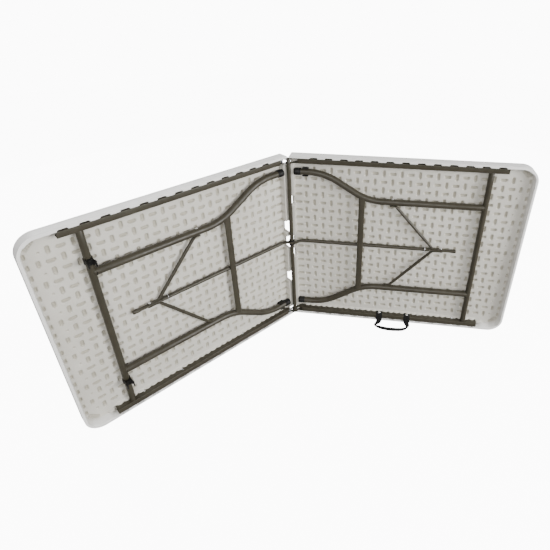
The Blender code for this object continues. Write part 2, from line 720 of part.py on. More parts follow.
def main():
    clear_scene()
    materials = {name: make_material(name) for name in COLOURS}
    steel, black, zinc = (materials[key] for key in ("frame_steel", "black_plastic", "zinc_steel"))
    fold = make_empty("fold_axis", (0.0, fold_axis_y(), 0.0))
    right = HalfPlace("right", fold)
    left = HalfPlace("left", fold)
    make_half(right, materials)
    left_leg = make_half(left, materials)
    make_fold_tube(right, steel)
    for upper in (True, False):
        make_collar(right, upper, black)
        make_hinge_plate(left, upper, steel)
        make_hinge_bolt(left, upper, zinc)
    for level, sign in (("upper", 1), ("lower", -1)):
        centre_w = MID + sign * CLIP_OFFSET_W
        clip = Place(f"clip_{level}_axis", "left", (PIVOT_U, LEG_N, centre_w), left_leg)
        make_closing_clip(clip, f"closing_clip_{level}", centre_w, black)
    make_handle_anchors(right, materials["black_webbing"], zinc)
    handle_origin = (sum(HANDLE_US) / 2, HANDLE_N, HANDLE_W)
    handle = Place("handle_axis", "right", handle_origin, right)
    make_handle(handle, materials["black_webbing"])


main()
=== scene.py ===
"""Looks of the fold-in-half table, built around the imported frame."""

import json
from math import asin, cos, degrees, pi, radians, sin

import bmesh
import bpy
import numpy as np
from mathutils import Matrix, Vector


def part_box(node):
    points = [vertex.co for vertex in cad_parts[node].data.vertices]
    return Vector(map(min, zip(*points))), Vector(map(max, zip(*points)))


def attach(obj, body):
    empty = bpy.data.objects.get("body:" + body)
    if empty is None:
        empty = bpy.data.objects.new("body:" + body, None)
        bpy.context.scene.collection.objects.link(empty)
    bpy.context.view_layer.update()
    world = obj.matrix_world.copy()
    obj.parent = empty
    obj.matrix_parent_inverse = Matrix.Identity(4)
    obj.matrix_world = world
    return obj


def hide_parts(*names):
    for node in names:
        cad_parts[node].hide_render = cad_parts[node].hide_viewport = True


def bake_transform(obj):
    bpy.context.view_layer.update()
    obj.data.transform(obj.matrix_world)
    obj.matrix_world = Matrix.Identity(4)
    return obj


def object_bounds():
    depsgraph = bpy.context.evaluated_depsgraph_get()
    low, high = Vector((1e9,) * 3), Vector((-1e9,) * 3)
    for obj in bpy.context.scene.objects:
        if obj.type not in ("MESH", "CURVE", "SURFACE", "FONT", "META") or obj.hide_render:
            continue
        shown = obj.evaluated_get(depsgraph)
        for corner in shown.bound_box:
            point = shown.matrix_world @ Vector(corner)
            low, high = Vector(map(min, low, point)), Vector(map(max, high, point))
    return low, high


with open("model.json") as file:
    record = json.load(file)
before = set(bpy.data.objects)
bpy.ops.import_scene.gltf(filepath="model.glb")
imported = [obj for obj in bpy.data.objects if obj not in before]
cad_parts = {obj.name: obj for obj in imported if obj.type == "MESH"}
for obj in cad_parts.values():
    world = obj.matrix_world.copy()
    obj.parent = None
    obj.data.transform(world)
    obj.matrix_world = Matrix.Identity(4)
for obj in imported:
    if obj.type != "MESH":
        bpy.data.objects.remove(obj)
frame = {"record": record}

CAD_BOX = [list(corner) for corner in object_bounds()]
JOINTS = {joint["name"]: joint for joint in frame["record"]["behaviour"]["joints"]}
FOLD = Vector(JOINTS["table_fold"]["pos_m"])
HALF_OPENING = radians(-JOINTS["table_fold"]["range_deg"][0] / 2)
LEVELS = {"upper": 1, "lower": -1}

# Sizes shared with the frame, in metres.
LENGTH, WIDTH, THICKNESS = 0.914, CAD_BOX[1][2], 0.044
MID = WIDTH / 2
FLOOR_N, HINGE_N = 0.030, -0.002
GAP = 0.0003


class Half:
    """One half's frame: u from the fold outwards, n from the rims' plane inwards, w upwards."""

    def __init__(self, side):
        self.side = side
        self.sign = 1 if side == "right" else -1

    def placed(self, u, n, w):
        """Scene coordinates of a point, or of arrays of points."""
        across = n - HINGE_N
        x = self.sign * (u * sin(HALF_OPENING) + across * cos(HALF_OPENING))
        return x, FOLD.y - u * cos(HALF_OPENING) + across * sin(HALF_OPENING), w

    def at(self, u, n, w):
        return Vector(self.placed(u, n, w))

    def way(self, u, n, w):
        return self.at(u, n, w) - self.at(0, 0, 0)

    def local(self, point):
        x, y = self.sign * point[0], point[1] - FOLD.y
        u = x * sin(HALF_OPENING) - y * cos(HALF_OPENING)
        across = x * cos(HALF_OPENING) + y * sin(HALF_OPENING)
        return u, across + HINGE_N, point[2]

    def build(self, shape, name):
        return shape.build(f"{self.side}_{name}")

    def add(self, piece, body, slot, node=None, **looks):
        """Finishes a piece of this half. Body and node are named without the side."""
        replaced = [f"{self.side}_{node}"] if node else ()
        finish_piece(piece, f"{self.side}_{body}", slot, replaced, **looks)


RIGHT, LEFT = Half("right"), Half("left")
PIVOT_U, LEG_N, _ = RIGHT.local(JOINTS["right_leg_swing"]["pos_m"])
FORK_U = RIGHT.local(JOINTS["right_fork_swing"]["pos_m"])[0]
LEG_SPACING, FOOT_SPACING = 0.2055, 0.3135
LEG_RADIUS, PIVOT_RADIUS, TUBE_RADIUS = 0.0127, 0.011, 0.008
BRACE_N, JOINT_U, RING_U = 0.0185, 0.61215, 0.548

# ---------------------------------------------------------------- camera, light and floor

CAMERA_AT = Vector((-0.3556, -1.3737, 1.3505))
CAMERA_YAW, CAMERA_PITCH = 17.954, -30.232
CAMERA_LENS = 29.001
CAMERA_SHIFT = (-0.0915, -0.0765)


def make_camera():
    data = bpy.data.cameras.new("camera")
    data.lens = CAMERA_LENS
    data.sensor_width = 36.0
    data.shift_x, data.shift_y = CAMERA_SHIFT
    camera = bpy.data.objects.new("camera", data)
    camera.location = CAMERA_AT
    camera.rotation_euler = (radians(90 + CAMERA_PITCH), 0.0, radians(-CAMERA_YAW))
    bpy.context.scene.collection.objects.link(camera)
    bpy.context.scene.camera = camera


def area_light(name, position, target, size, power):
    data = bpy.data.lights.new(name, "AREA")
    data.shape = "RECTANGLE"
    data.size, data.size_y = size
    data.energy = power
    light = bpy.data.objects.new(name, data)
    light.location = position
    light.rotation_euler = (Vector(target) - Vector(position)).to_track_quat("-Z", "Y").to_euler()
    bpy.context.scene.collection.objects.link(light)


def make_world(strength):
    world = bpy.data.worlds.new("studio")
    bpy.context.scene.world = world
    world.use_nodes = True
    background = world.node_tree.nodes["Background"]
    background.inputs["Color"].default_value = (1.0, 1.0, 1.0, 1.0)
    background.inputs["Strength"].default_value = strength


# ---------------------------------------------------------------- materials


class Finish:
    """A material being put together from noise, ramps and bumps."""

    def __init__(self, name):
        self.material = bpy.data.materials.new(name)
        self.material.use_nodes = True
        self.nodes = self.material.node_tree.nodes
        self.links = self.material.node_tree.links
        self.shader = self.nodes["Principled BSDF"]
        self.place = self.node("TexCoord").outputs["Object"]
        self.last_bump = None

    def set(self, name, value):
        """Sets one of the shader's own sockets."""
        self.shader.inputs[name].default_value = value

    def link(self, value, socket):
        if isinstance(value, bpy.types.NodeSocket):
            self.links.new(value, socket)
        else:
            socket.default_value = value

    def node(self, kind, **inputs):
        """Adds a node. Each keyword names an input, with an underscore for a space."""
        node = self.nodes.new(f"ShaderNode{kind}")
        for name, value in inputs.items():
            self.link(value, node.inputs[name.replace("_", " ")])
        return node

    def attribute(self, name):
        node = self.node("Attribute")
        node.attribute_name = name
        return node.outputs["Fac"]

    def noise(self, scale, detail=3.0, roughness=0.55, stretch=None):
        place = self.place
        if stretch:
            place = self.node("Mapping", Vector=place, Scale=stretch).outputs["Vector"]
        looks = {"Scale": scale, "Detail": detail, "Roughness": roughness}
        return self.node("TexNoise", Vector=place, **looks).outputs["Fac"]

    def ramp(self, value, low, high, low_colour, high_colour):
        """Goes from one colour to the other as value goes from low to high."""
        node = self.node("ValToRGB", Fac=value)
        first, second = node.color_ramp.elements
        first.position, second.position = low, high
        first.color = (*low_colour, 1.0)
        second.color = (*high_colour, 1.0)
        return node.outputs["Color"]

    def range(self, value, low, high, out_low, out_high):
        ends = {"From_Min": low, "From_Max": high, "To_Min": out_low, "To_Max": out_high}
        return self.node("MapRange", Value=value, **ends).outputs["Result"]

    def math(self, kind, a, b=0.0):
        node = self.node("Math")
        node.operation = kind
        self.link(a, node.inputs[0])
        self.link(b, node.inputs[1])
        return node.outputs[0]

    def mix(self, factor, a, b):
        node = self.node("Mix")
        node.data_type = "RGBA"
        sockets = [socket for socket in node.inputs if socket.enabled]
        for value, socket in zip((factor, a, b), sockets):
            self.link((*value, 1.0) if isinstance(value, tuple) else value, socket)
        return next(socket for socket in node.outputs if socket.enabled)

    def worn_edges(self, radius):
        """1 on sharp outer edges, 0 elsewhere: where a bevelled normal leaves the true one."""
        bevelled = self.node("Bevel", Radius=radius).outputs["Normal"]
        dot = self.node("VectorMath")
        dot.operation = "DOT_PRODUCT"
        self.links.new(bevelled, dot.inputs[0])
        self.links.new(self.node("NewGeometry").outputs["Normal"], dot.inputs[1])
        return self.range(dot.outputs["Value"], 0.97, 0.80, 0.0, 1.0)

    def bump(self, height, distance, strength=1.0):
        node = self.node("Bump", Strength=strength, Distance=distance, Height=height)
        if self.last_bump:
            self.links.new(self.last_bump, node.inputs["Normal"])
        self.last_bump = node.outputs["Normal"]

    def done(self, colour, roughness):
        self.link(colour, self.shader.inputs["Base Color"])
        self.link(roughness, self.shader.inputs["Roughness"])
        if self.last_bump:
            self.links.new(self.last_bump, self.shader.inputs["Normal"])
        return self.material


def panel_plastic():
    """Off-white polythene: cloudy and pebbled, with painted shade that darkens the hollow side, and a darker,
    warmer tint deep in the dimples that is partly painted shade and partly the tone of the thin pinched
    plastic.
    """
    finish = Finish("moulded_polythene")
    cloud = finish.noise(7.0, 5.0, 0.6)
    speck = finish.noise(260.0, 2.0, 0.5)
    # The rims get the pale ramp. The hollow side gets a much darker one, which is painted shade of the
    # recess.
    outside = finish.ramp(cloud, 0.30, 0.72, (0.800, 0.790, 0.760), (0.860, 0.852, 0.830))
    inside = finish.ramp(cloud, 0.30, 0.72, (0.530, 0.508, 0.448), (0.600, 0.580, 0.522))
    colour = finish.mix(finish.attribute("hollow"), outside, inside)
    colour = finish.mix(finish.range(speck, 0.35, 0.75, 0.0, 0.12), colour, (0.50, 0.48, 0.44))
    # Deep in the dimples the colour turns darker and warmer: partly painted shade, partly the tone of the
    # thin pinched plastic.
    depth = finish.math("MULTIPLY", finish.attribute("depth"), 0.70)
    colour = finish.mix(depth, colour, (0.322, 0.298, 0.225))
    rough = finish.range(finish.noise(34.0, 4.0), 0.3, 0.7, 0.40, 0.56)
    finish.bump(finish.noise(420.0, 3.0, 0.6), 0.00028, 0.55)
    finish.bump(finish.noise(30.0, 2.0), 0.0009, 0.35)
    return finish.done(colour, rough)


def frame_steel():
    """Grey-brown powder coat with orange peel, pale specks, scuffs and rubbed edges."""
    finish = Finish("powder_coated_steel")
    cloud = finish.noise(16.0, 5.0, 0.62)
    speck = finish.noise(900.0, 2.0, 0.5)
    colour = finish.ramp(cloud, 0.28, 0.75, (0.030, 0.0260, 0.0160), (0.045, 0.0398, 0.0265))
    colour = finish.mix(finish.range(speck, 0.55, 0.80, 0.0, 0.30), colour, (0.080, 0.072, 0.053))
    scuff = finish.noise(46.0, 6.0, 0.75, stretch=(1.0, 1.0, 0.22))
    colour = finish.mix(finish.range(scuff, 0.66, 0.74, 0.0, 0.35), colour, (0.090, 0.083, 0.063))
    wear = finish.math("MULTIPLY", finish.worn_edges(0.0009), finish.range(cloud, 0.40, 0.70, 0.0, 0.6))
    colour = finish.mix(wear, colour, (0.12, 0.11, 0.085))
    rough = finish.range(finish.noise(60.0, 4.0), 0.3, 0.7, 0.30, 0.46)
    finish.set("Specular IOR Level", 0.34)
    finish.bump(finish.noise(520.0, 2.0, 0.5), 0.00012, 0.6)
    return finish.done(colour, rough)


def black_plastic():
    finish = Finish("black_moulding")
    cloud = finish.noise(40.0, 4.0)
    colour = finish.ramp(cloud, 0.3, 0.75, (0.0035, 0.0033, 0.0030), (0.0085, 0.0080, 0.0072))
    colour = finish.mix(finish.worn_edges(0.0006), colour, (0.022, 0.021, 0.020))
    rough = finish.range(finish.noise(130.0, 3.0), 0.3, 0.7, 0.38, 0.58)
    finish.set("Specular IOR Level", 0.22)
    finish.bump(finish.noise(1200.0, 2.0), 0.00008, 0.7)
    return finish.done(colour, rough)


def zinc_steel():
    """Zinc-plated steel with drawing marks and dull patches."""
    finish = Finish("zinc_plate")
    finish.set("Metallic", 1.0)
    cloud = finish.noise(70.0, 5.0, 0.65)
    colour = finish.ramp(cloud, 0.3, 0.75, (0.55, 0.55, 0.56), (0.80, 0.81, 0.83))
    marks = finish.noise(900.0, 3.0, 0.6, stretch=(1.0, 1.0, 0.06))
    rough = finish.range(marks, 0.3, 0.7, 0.20, 0.38)
    finish.bump(marks, 0.00004, 0.6)
    return finish.done(colour, rough)


def black_webbing():
    """Woven strap: ribs across it, yarns along it, and a little fuzz."""
    finish = Finish("woven_webbing")
    along = finish.attribute("strap_along")
    across = finish.attribute("strap_across")
    ribs = finish.math("SINE", finish.math("MULTIPLY", along, 2 * pi / 0.0017))
    yarns = finish.math("SINE", finish.math("MULTIPLY", across, 2 * pi / 0.0021))
    weave = finish.math("MULTIPLY", ribs, yarns)
    height = finish.range(weave, -1.0, 1.0, 0.0, 1.0)
    fuzz = finish.noise(1400.0, 3.0, 0.7)
    colour = finish.ramp(height, 0.1, 0.9, (0.0025, 0.0025, 0.0026), (0.0095, 0.0093, 0.0090))
    colour = finish.mix(finish.range(fuzz, 0.5, 0.8, 0.0, 0.35), colour, (0.020, 0.020, 0.0195))
    finish.set("Sheen Weight", 0.05)
    finish.set("Specular IOR Level", 0.15)
    finish.bump(height, 0.00030, 0.9)
    finish.bump(fuzz, 0.00010, 0.5)
    return finish.done(colour, finish.range(fuzz, 0.3, 0.7, 0.72, 0.92))


def floor_paint():
    finish = Finish("studio_floor")
    colour = finish.ramp(finish.noise(2.0, 2.0), 0.3, 0.7, (0.200, 0.200, 0.200), (0.220, 0.220, 0.220))
    finish.set("Emission Color", (1.0, 1.0, 1.0, 1.0))
    finish.set("Emission Strength", 11.0)
    return finish.done(colour, 0.9)


MATERIALS = {
    "panel_plastic": panel_plastic(),
    "frame_steel": frame_steel(),
    "black_plastic": black_plastic(),
    "zinc_steel": zinc_steel(),
    "black_webbing": black_webbing(),
}

# ---------------------------------------------------------------- mesh building


def new_object(name, points, faces):
    mesh = bpy.data.meshes.new(name)
    mesh.from_pydata(points, [], faces)
    bm = bmesh.new()
    bm.from_mesh(mesh)
    bmesh.ops.recalc_face_normals(bm, faces=bm.faces)
    bm.to_mesh(mesh)
    bm.free()
    obj = bpy.data.objects.new(name, mesh)
    bpy.context.scene.collection.objects.link(obj)
    return obj


def add_tones(obj, **tones):
    """Stores a number per point for the materials to read."""
    for name, values in tones.items():
        values = np.array(values, dtype=np.float32)
        obj.data.attributes.new(name, "FLOAT", "POINT").data.foreach_set("value", values)


def finish_piece(obj, body, slot, replaced=(), sharp=38.0, bevel=0.0):
    """Shades a piece, gives it its finish and ties it to its body of the frame, if it has only one."""
    if bevel:
        modifier = obj.modifiers.new("Rounded edges", "BEVEL")
        modifier.width = bevel
        modifier.segments = 2
        modifier.limit_method = "ANGLE"
        modifier.angle_limit = radians(35)
    obj.data.materials.clear()
    obj.data.materials.append(MATERIALS[slot])
    obj.data.shade_smooth()
    obj.data.set_sharp_from_angle(angle=radians(sharp))
    if body:
        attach(obj, body)
    if replaced:
        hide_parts(*replaced)


class Shape:
    """A mesh being put together from one or more closed shells."""

    def __init__(self):
        self.points = []
        self.faces = []

    def ring(self, points):
        start = len(self.points)
        self.points += [tuple(p) for p in points]
        return list(range(start, len(self.points)))

    def bridge(self, first, second):
        count = len(first)
        for i in range(count):
            j = (i + 1) % count
            self.faces.append((first[i], first[j], second[j], second[i]))

    def loft(self, rings, joined=False):
        loops = [self.ring(ring) for ring in rings]
        pairs = list(zip(loops, loops[1:]))
        if joined:
            pairs.append((loops[-1], loops[0]))
        for first, second in pairs:
            self.bridge(first, second)
        if not joined:
            self.faces.append(tuple(loops[0]))
            self.faces.append(tuple(loops[-1]))
        return self

    def build(self, name):
        return new_object(name, self.points, self.faces)


def arc(centre, radius, start, end, steps):
    angles = [radians(start + (end - start) * i / steps) for i in range(steps + 1)]
    return [(centre[0] + radius * cos(a), centre[1] + radius * sin(a)) for a in angles]


def groove(start, end, radius, depth, slope=0.0002):
    """Profile points of a shallow groove round a turned piece."""
    return [(start, radius), (start + slope, radius - depth), (end - slope, radius - depth), (end, radius)]


def rectangle(low_x, high_x, low_y, high_y):
    return [(low_x, low_y), (high_x, low_y), (high_x, high_y), (low_x, high_y)]


def circle(centre, radius, sides=40):
    return arc(centre, radius, 0.0, 360.0, sides)[:-1]


def eased(stations, rounds=3):
    """Cuts the corners of a run of stations, so that the piece bends and changes shape smoothly."""
    for _ in range(rounds):
        fresh = [stations[0]]
        for a, b in zip(stations, stations[1:]):
            fresh.append(tuple(0.75 * p + 0.25 * q for p, q in zip(a, b)))
            fresh.append(tuple(0.25 * p + 0.75 * q for p, q in zip(a, b)))
        fresh.append(stations[-1])
        stations = fresh
    return stations


def rounded_box(half_side, half_up, power, sides):
    """Points round an oval (power 2) that turns into a box as the power grows."""
    points = []
    for k in range(sides):
        angle = 2 * pi * (k + 0.5) / sides
        c, s = cos(angle), sin(angle)
        a = half_side * abs(c) ** (2 / power) * (1 if c >= 0 else -1)
        b = half_up * abs(s) ** (2 / power) * (1 if s >= 0 else -1)
        points.append((a, b))
    return points


def sweep(shape, half, stations, up, sides=32, joined=False, rounded=0.0008, hollow=0.0):
    """Adds a piece along stations of (u, n, w, half size across, half size along up, power)."""
    if not joined:
        stations = with_ends(stations, rounded, hollow)
    centres = [half.at(*station[:3]) for station in stations]
    up = half.way(*up)
    last = len(stations) - 1
    rings = []
    for i, station in enumerate(stations):
        if joined:
            step = centres[(i + 1) % len(centres)] - centres[i - 1]
        elif i < 3:
            step = centres[4] - centres[3]
        elif i > last - 3:
            step = centres[last - 3] - centres[last - 4]
        else:
            step = centres[i + 1] - centres[i - 1]
        tangent = step.normalized()
        side = tangent.cross(up).normalized()
        over = side.cross(tangent).normalized()
        rings.append([centres[i] + side * a + over * b for a, b in rounded_box(*station[3:6], sides)])
    return shape.loft(rings, joined)


def with_ends(stations, rounded, hollow):
    """Rounds the ends of a swept piece, and sinks a mouth into each if it is a tube."""

    def end(here, inside):
        step = Vector(inside[:3]) - Vector(here[:3])
        way = step.normalized()

        def moved(depth, less):
            spot = Vector(here[:3]) + way * depth
            return (*spot, max(here[3] - less, 0.0004), max(here[4] - less, 0.0004), here[5])

        if hollow:
            return [moved(0.006, hollow), moved(0.0, hollow), moved(0.0, 0.0003), moved(0.0004, 0.0)]
        return [moved(0.0, rounded), moved(0.3 * rounded, 0.3 * rounded), moved(rounded, 0.0)]

    first = end(stations[0], stations[1])
    last = end(stations[-1], stations[-2])
    return first + list(stations[1:-1]) + last[::-1]


ALONG_U, ALONG_N, ALONG_W = (1, 0, 0), (0, 1, 0), (0, 0, 1)


def bar(shape, half, start, end, radius, hollow=0.0):
    """Adds a straight round bar or tube that runs along w."""
    a, b = Vector(start), Vector(end)
    spots = [a.lerp(b, share) for share in (0.0, 0.08, 0.5, 0.92, 1.0)]
    stations = [(*spot, radius, radius, 2.0) for spot in spots]
    return sweep(shape, half, stations, ALONG_N, 48, rounded=0.0006, hollow=hollow)


def prism(shape, half, outline, along, low, high):
    """Adds a solid from an outline. Along n the outline holds (u, w), along w (u, n), along u (n, w)."""
    point_at = {
        "n": lambda a, b, h: half.at(a, h, b),
        "w": lambda a, b, h: half.at(a, b, h),
        "u": lambda a, b, h: half.at(h, a, b),
    }[along]
    rings = [[point_at(a, b, h) for a, b in outline] for h in (low, high)]
    return shape.loft(rings)


def turned(shape, half, spot, way, profile, sides=28):
    """Adds a turned piece: profile holds (distance along way, radius) from spot."""
    way = Vector(way).normalized()
    across = way.orthogonal().normalized()
    third = way.cross(across)
    rings = []
    for along, radius in profile:
        ring = []
        for k in range(sides):
            angle = 2 * pi * k / sides
            point = Vector(spot) + way * along + (across * cos(angle) + third * sin(angle)) * radius
            ring.append(half.at(*point))
        rings.append(ring)
    return shape.loft(rings)


def carve(obj, shape, operation="DIFFERENCE"):
    """Takes a shape away from a piece, or joins it on, for good."""
    cutter = shape.build("cutter")
    modifier = obj.modifiers.new("Cut", "BOOLEAN")
    modifier.operation = operation
    modifier.solver = "EXACT"
    modifier.object = cutter
    bpy.context.view_layer.update()
    graph = bpy.context.evaluated_depsgraph_get()
    mesh = bpy.data.meshes.new_from_object(obj.evaluated_get(graph))
    obj.modifiers.remove(modifier)
    obj.data = mesh
    bpy.data.objects.remove(cutter, do_unlink=True)

# ---------------------------------------------------------------- panels

# The dimples of the underside are a basket weave of ovals.
DIMPLE_PITCH_U, DIMPLE_PITCH_W = 0.0338, 0.0350
DIMPLE_FIRST_U, DIMPLE_ROWS = 0.0252, 19
DIMPLE_COLUMNS = 19
DIMPLE_DEPTH = 0.0060
DIMPLE_EDGE = 0.0030
LONG_DIMPLE, ROUND_DIMPLE = (0.0132, 0.0062), (0.0036, 0.0036)
GRID_STEPS = (0.0, 0.0020, 0.0036, 0.0050, 0.0065, 0.0092, 0.0114, 0.0136, 0.0169)
PANEL_START, LIP_TOP, LIP_END = 0.0015, 0.0085, 0.0155
RIM, END_RIM = 0.0100, 0.0080
OUTER_CORNER, FOLD_CORNER = 0.060, 0.007
RAIL_POCKET, BRACE_POCKET = 0.0360, 0.0270
RAIL_OUT = 0.0305
RAIL_FRONT, RAIL_END = 0.0005, 0.809
LIP_GAPS = {
    "right": ((0.547, 0.590), (0.300, 0.345)),
    "left": ((0.430, 0.480), (0.180, 0.230)),
}
SLOT_FIRST = {"right": 0.0967, "left": 0.1040}
SLOT_PITCH, SLOT_COUNT = 0.0572, 13
SLOT_HALF, SLOT_SLOPE, SLOT_DEPTH = 0.0105, 0.0045, 0.0150
SLOT_OUT, SLOT_IN = 0.0050, 0.0099
SCALLOP_PITCH = 0.0254
CORNER_OVAL = (0.8796, 0.3446)


def smooth(value, low, high):
    """0 below low, 1 above high and an even ease in between."""
    share = np.clip((value - low) / (high - low), 0.0, 1.0)
    return share * share * (3 - 2 * share)


def grid_lines(start, end, phase, pitch, extras):
    """Grid lines that are close at the sides of the dimples, and at every line in extras."""
    fixed = sorted({round(x, 5) for x in (*extras, start, end) if start <= x <= end})
    share = pitch / DIMPLE_PITCH_U
    lines = set(fixed)
    fixed = np.array(fixed)
    for k in range(int((start - phase) / pitch) - 1, int((end - phase) / pitch) + 2):
        for step in GRID_STEPS:
            for side in (-1, 1):
                x = round(phase + k * pitch + side * step * share, 5)
                if start < x < end and np.min(np.abs(fixed - x)) > 0.0008:
                    lines.add(x)
    lines = sorted(lines)
    kept = [lines[0]]
    for x in lines[1:]:
        if x - kept[-1] > 0.00019:
            kept.append(x)
    return np.array(kept)


def move_corners(p, q, move):
    """Moves the points in the four rounded corners' squares, by their places (x, y) from each centre."""
    u, w = p.copy(), q.copy()
    for edge, way, radius in ((LENGTH, 1, OUTER_CORNER), (PANEL_START, -1, FOLD_CORNER)):
        for top in (True, False):
            x = (p - (edge - way * radius)) * way
            y = q - (WIDTH - radius) if top else radius - q
            inside = (x > 0) & (y > 0)
            x, y = move(np.where(inside, x, 1.0), np.where(inside, y, 1.0), radius)
            u = np.where(inside, edge - way * radius + way * x, u)
            w = np.where(inside, (WIDTH - radius + y) if top else (radius - y), w)
    return u, w


def round_corners(p, q):
    """Bends the square grid so that its outline follows the rounded corners."""

    def turned_in(x, y, _):
        far = np.maximum(x, y)
        turn = pi / 4 * np.minimum(x, y) / far
        turn = np.where(x > y, turn, pi / 2 - turn)
        return far * np.cos(turn), far * np.sin(turn)

    return move_corners(p, q, turned_in)


def oval(u, w, centre, long_way, half_length, half_width):
    """Depth of a round-ended oval: 1 in the middle, 0 outside."""
    du, dw = u - centre[0], w - centre[1]
    along = du * long_way[0] + dw * long_way[1]
    over = dw * long_way[0] - du * long_way[1]
    along = np.maximum(np.abs(along) - (half_length - half_width), 0.0)
    bottom = half_width - 0.75 * DIMPLE_EDGE
    return 1.0 - smooth(np.hypot(along, over), bottom, bottom + DIMPLE_EDGE)


def dimple_list():
    """Every dimple as (centre, way, half length, half width, depth)."""
    along_u, along_w = (1.0, 0.0), (0.0, 1.0)
    dimples = []
    for row in range(DIMPLE_ROWS):
        w = MID + (DIMPLE_ROWS // 2 - row) * DIMPLE_PITCH_W
        for column in range(DIMPLE_COLUMNS):
            u = DIMPLE_FIRST_U + column * DIMPLE_PITCH_U
            upright = (row + column) % 2 == 0
            if column == 0:
                dimples.append(((u + 0.0030, w), along_u, 0.0150, 0.0056, 1.0))
            else:
                dimples.append(((u, w), along_w if upright else along_u, *LONG_DIMPLE, 1.0))
        last_u = DIMPLE_FIRST_U + 25 * DIMPLE_PITCH_U - 0.0015
        for column in range(DIMPLE_COLUMNS, 25):
            u = DIMPLE_FIRST_U + column * DIMPLE_PITCH_U
            upright = (row + column) % 2 == 0
            dimples.append(((u, w), along_w if upright else along_u, *LONG_DIMPLE, 1.0))
        if (row + 25) % 2 == 0:
            dimples.append(((last_u, w), along_w, 0.0115, 0.0055, 1.0))
        else:
            dimples.append(((last_u - 0.0080, w), along_u, *ROUND_DIMPLE, 0.8))
        dimples.append(((0.8960, w), along_w, 0.0090, 0.0040, 0.9))
    return dimples


def near_lines(lines, value, reach):
    return slice(np.searchsorted(lines, value - reach), np.searchsorted(lines, value + reach))


def underside(side, ps, qs):
    """Grid points of a panel's underside: (u, w, n, depth of dimple for its partly painted shade, share of
    the painted shade of the recess).
    """
    p, q = np.meshgrid(ps, qs, indexing="ij")
    u, w = round_corners(p, q)
    from_long = np.minimum(q, WIDTH - q)
    from_end = LENGTH - p

    ease = 0.0004 + 0.0090 * smooth(p, 0.816, 0.840)
    wall_long = smooth(from_long, RIM - 0.0001, RIM - 0.0001 + ease)
    wall_end = smooth(from_end, END_RIM, END_RIM + 0.0050)
    floor = FLOOR_N * np.minimum(wall_long, wall_end)
    flat_floor = np.minimum(wall_long, wall_end) > 0.98

    # The lip along the fold, with its pockets and gaps.
    lip = 1.0 - smooth(p, LIP_END, LIP_END + 0.0030)
    lip *= smooth(from_long, RAIL_POCKET - 0.0002, RAIL_POCKET + 0.0008)
    lip *= smooth(np.abs(q - MID), BRACE_POCKET - 0.0002, BRACE_POCKET + 0.0008)
    for low, high in LIP_GAPS[side]:
        middle, half_gap = (low + high) / 2, (high - low) / 2
        gap = 1.0 - smooth(np.abs(q - middle), half_gap - 0.0008, half_gap + 0.0008)
        lip *= 1.0 - gap
        floor += gap * 0.0058 * (1.0 - smooth(p, PANEL_START, 0.0110)) * flat_floor
    height = floor * (1.0 - lip) + LIP_TOP * lip

    # Slots in the long rims, outside each rail.
    for k in range(SLOT_COUNT):
        centre = SLOT_FIRST[side] + k * SLOT_PITCH
        across = np.clip((np.abs(p - centre) - SLOT_HALF) / SLOT_SLOPE, 0.0, 1.0)
        outer = SLOT_OUT + across * (SLOT_IN - SLOT_OUT)
        slot = smooth(from_long, outer - 0.0004, outer + 0.0004) * (across < 1.0) * (from_long < RIM + 0.0001)
        height = np.maximum(height, slot * SLOT_DEPTH)

    # Scallops that hold each rail's inner flange.
    bump = np.abs(np.cos(pi * (p - 0.030) / SCALLOP_PITCH)) ** 0.8
    rise = (0.0035 + 0.0062 * bump) * smooth(p, 0.040, 0.050) * (1.0 - smooth(p, 0.800, 0.812))
    across = smooth(from_long, RAIL_OUT, RAIL_OUT + 0.0004)
    across *= 1.0 - smooth(from_long, RAIL_OUT + 0.0022, RAIL_OUT + 0.0075)
    height = height - rise * across

    depth = np.zeros_like(height)
    for centre, way, half_length, half_width, share in dimple_list():
        rows = near_lines(ps, centre[0], 0.022)
        columns = near_lines(qs, centre[1], 0.022)
        shape = share * oval(u[rows, columns], w[rows, columns], centre, way, half_length, half_width)
        depth[rows, columns] = np.maximum(depth[rows, columns], shape)

    # Stops past the ends of the rails, and a ribbed pocket in each outer corner.
    for sign in (-1, 1):
        stop = oval(u, w, (0.8235, MID + sign * 0.3600), (1.0, 0.0), 0.0125, 0.0045)
        height = height - 0.0090 * stop * flat_floor
        way = (0.7071, -0.7071 * sign)
        centre = (CORNER_OVAL[0], MID + sign * CORNER_OVAL[1])
        pocket = oval(u, w, centre, way, 0.0220, 0.0090)
        along = (u - centre[0]) * way[0] + (w - centre[1]) * way[1]
        ribs = 0.5 + 0.5 * np.cos(2 * pi * along / 0.0075)
        # The pocket's depth also darkens its colour, partly as painted shade.
        depth = np.maximum(depth, 0.85 * pocket * (0.35 + 0.65 * ribs))
    depth *= flat_floor * (1.0 - lip)
    height = height + DIMPLE_DEPTH * depth
    # The last two set the dimples' partly painted shade and the recess's painted shade in the finish.
    return u, w, height, depth ** 0.6, np.minimum(wall_long, wall_end) ** 5


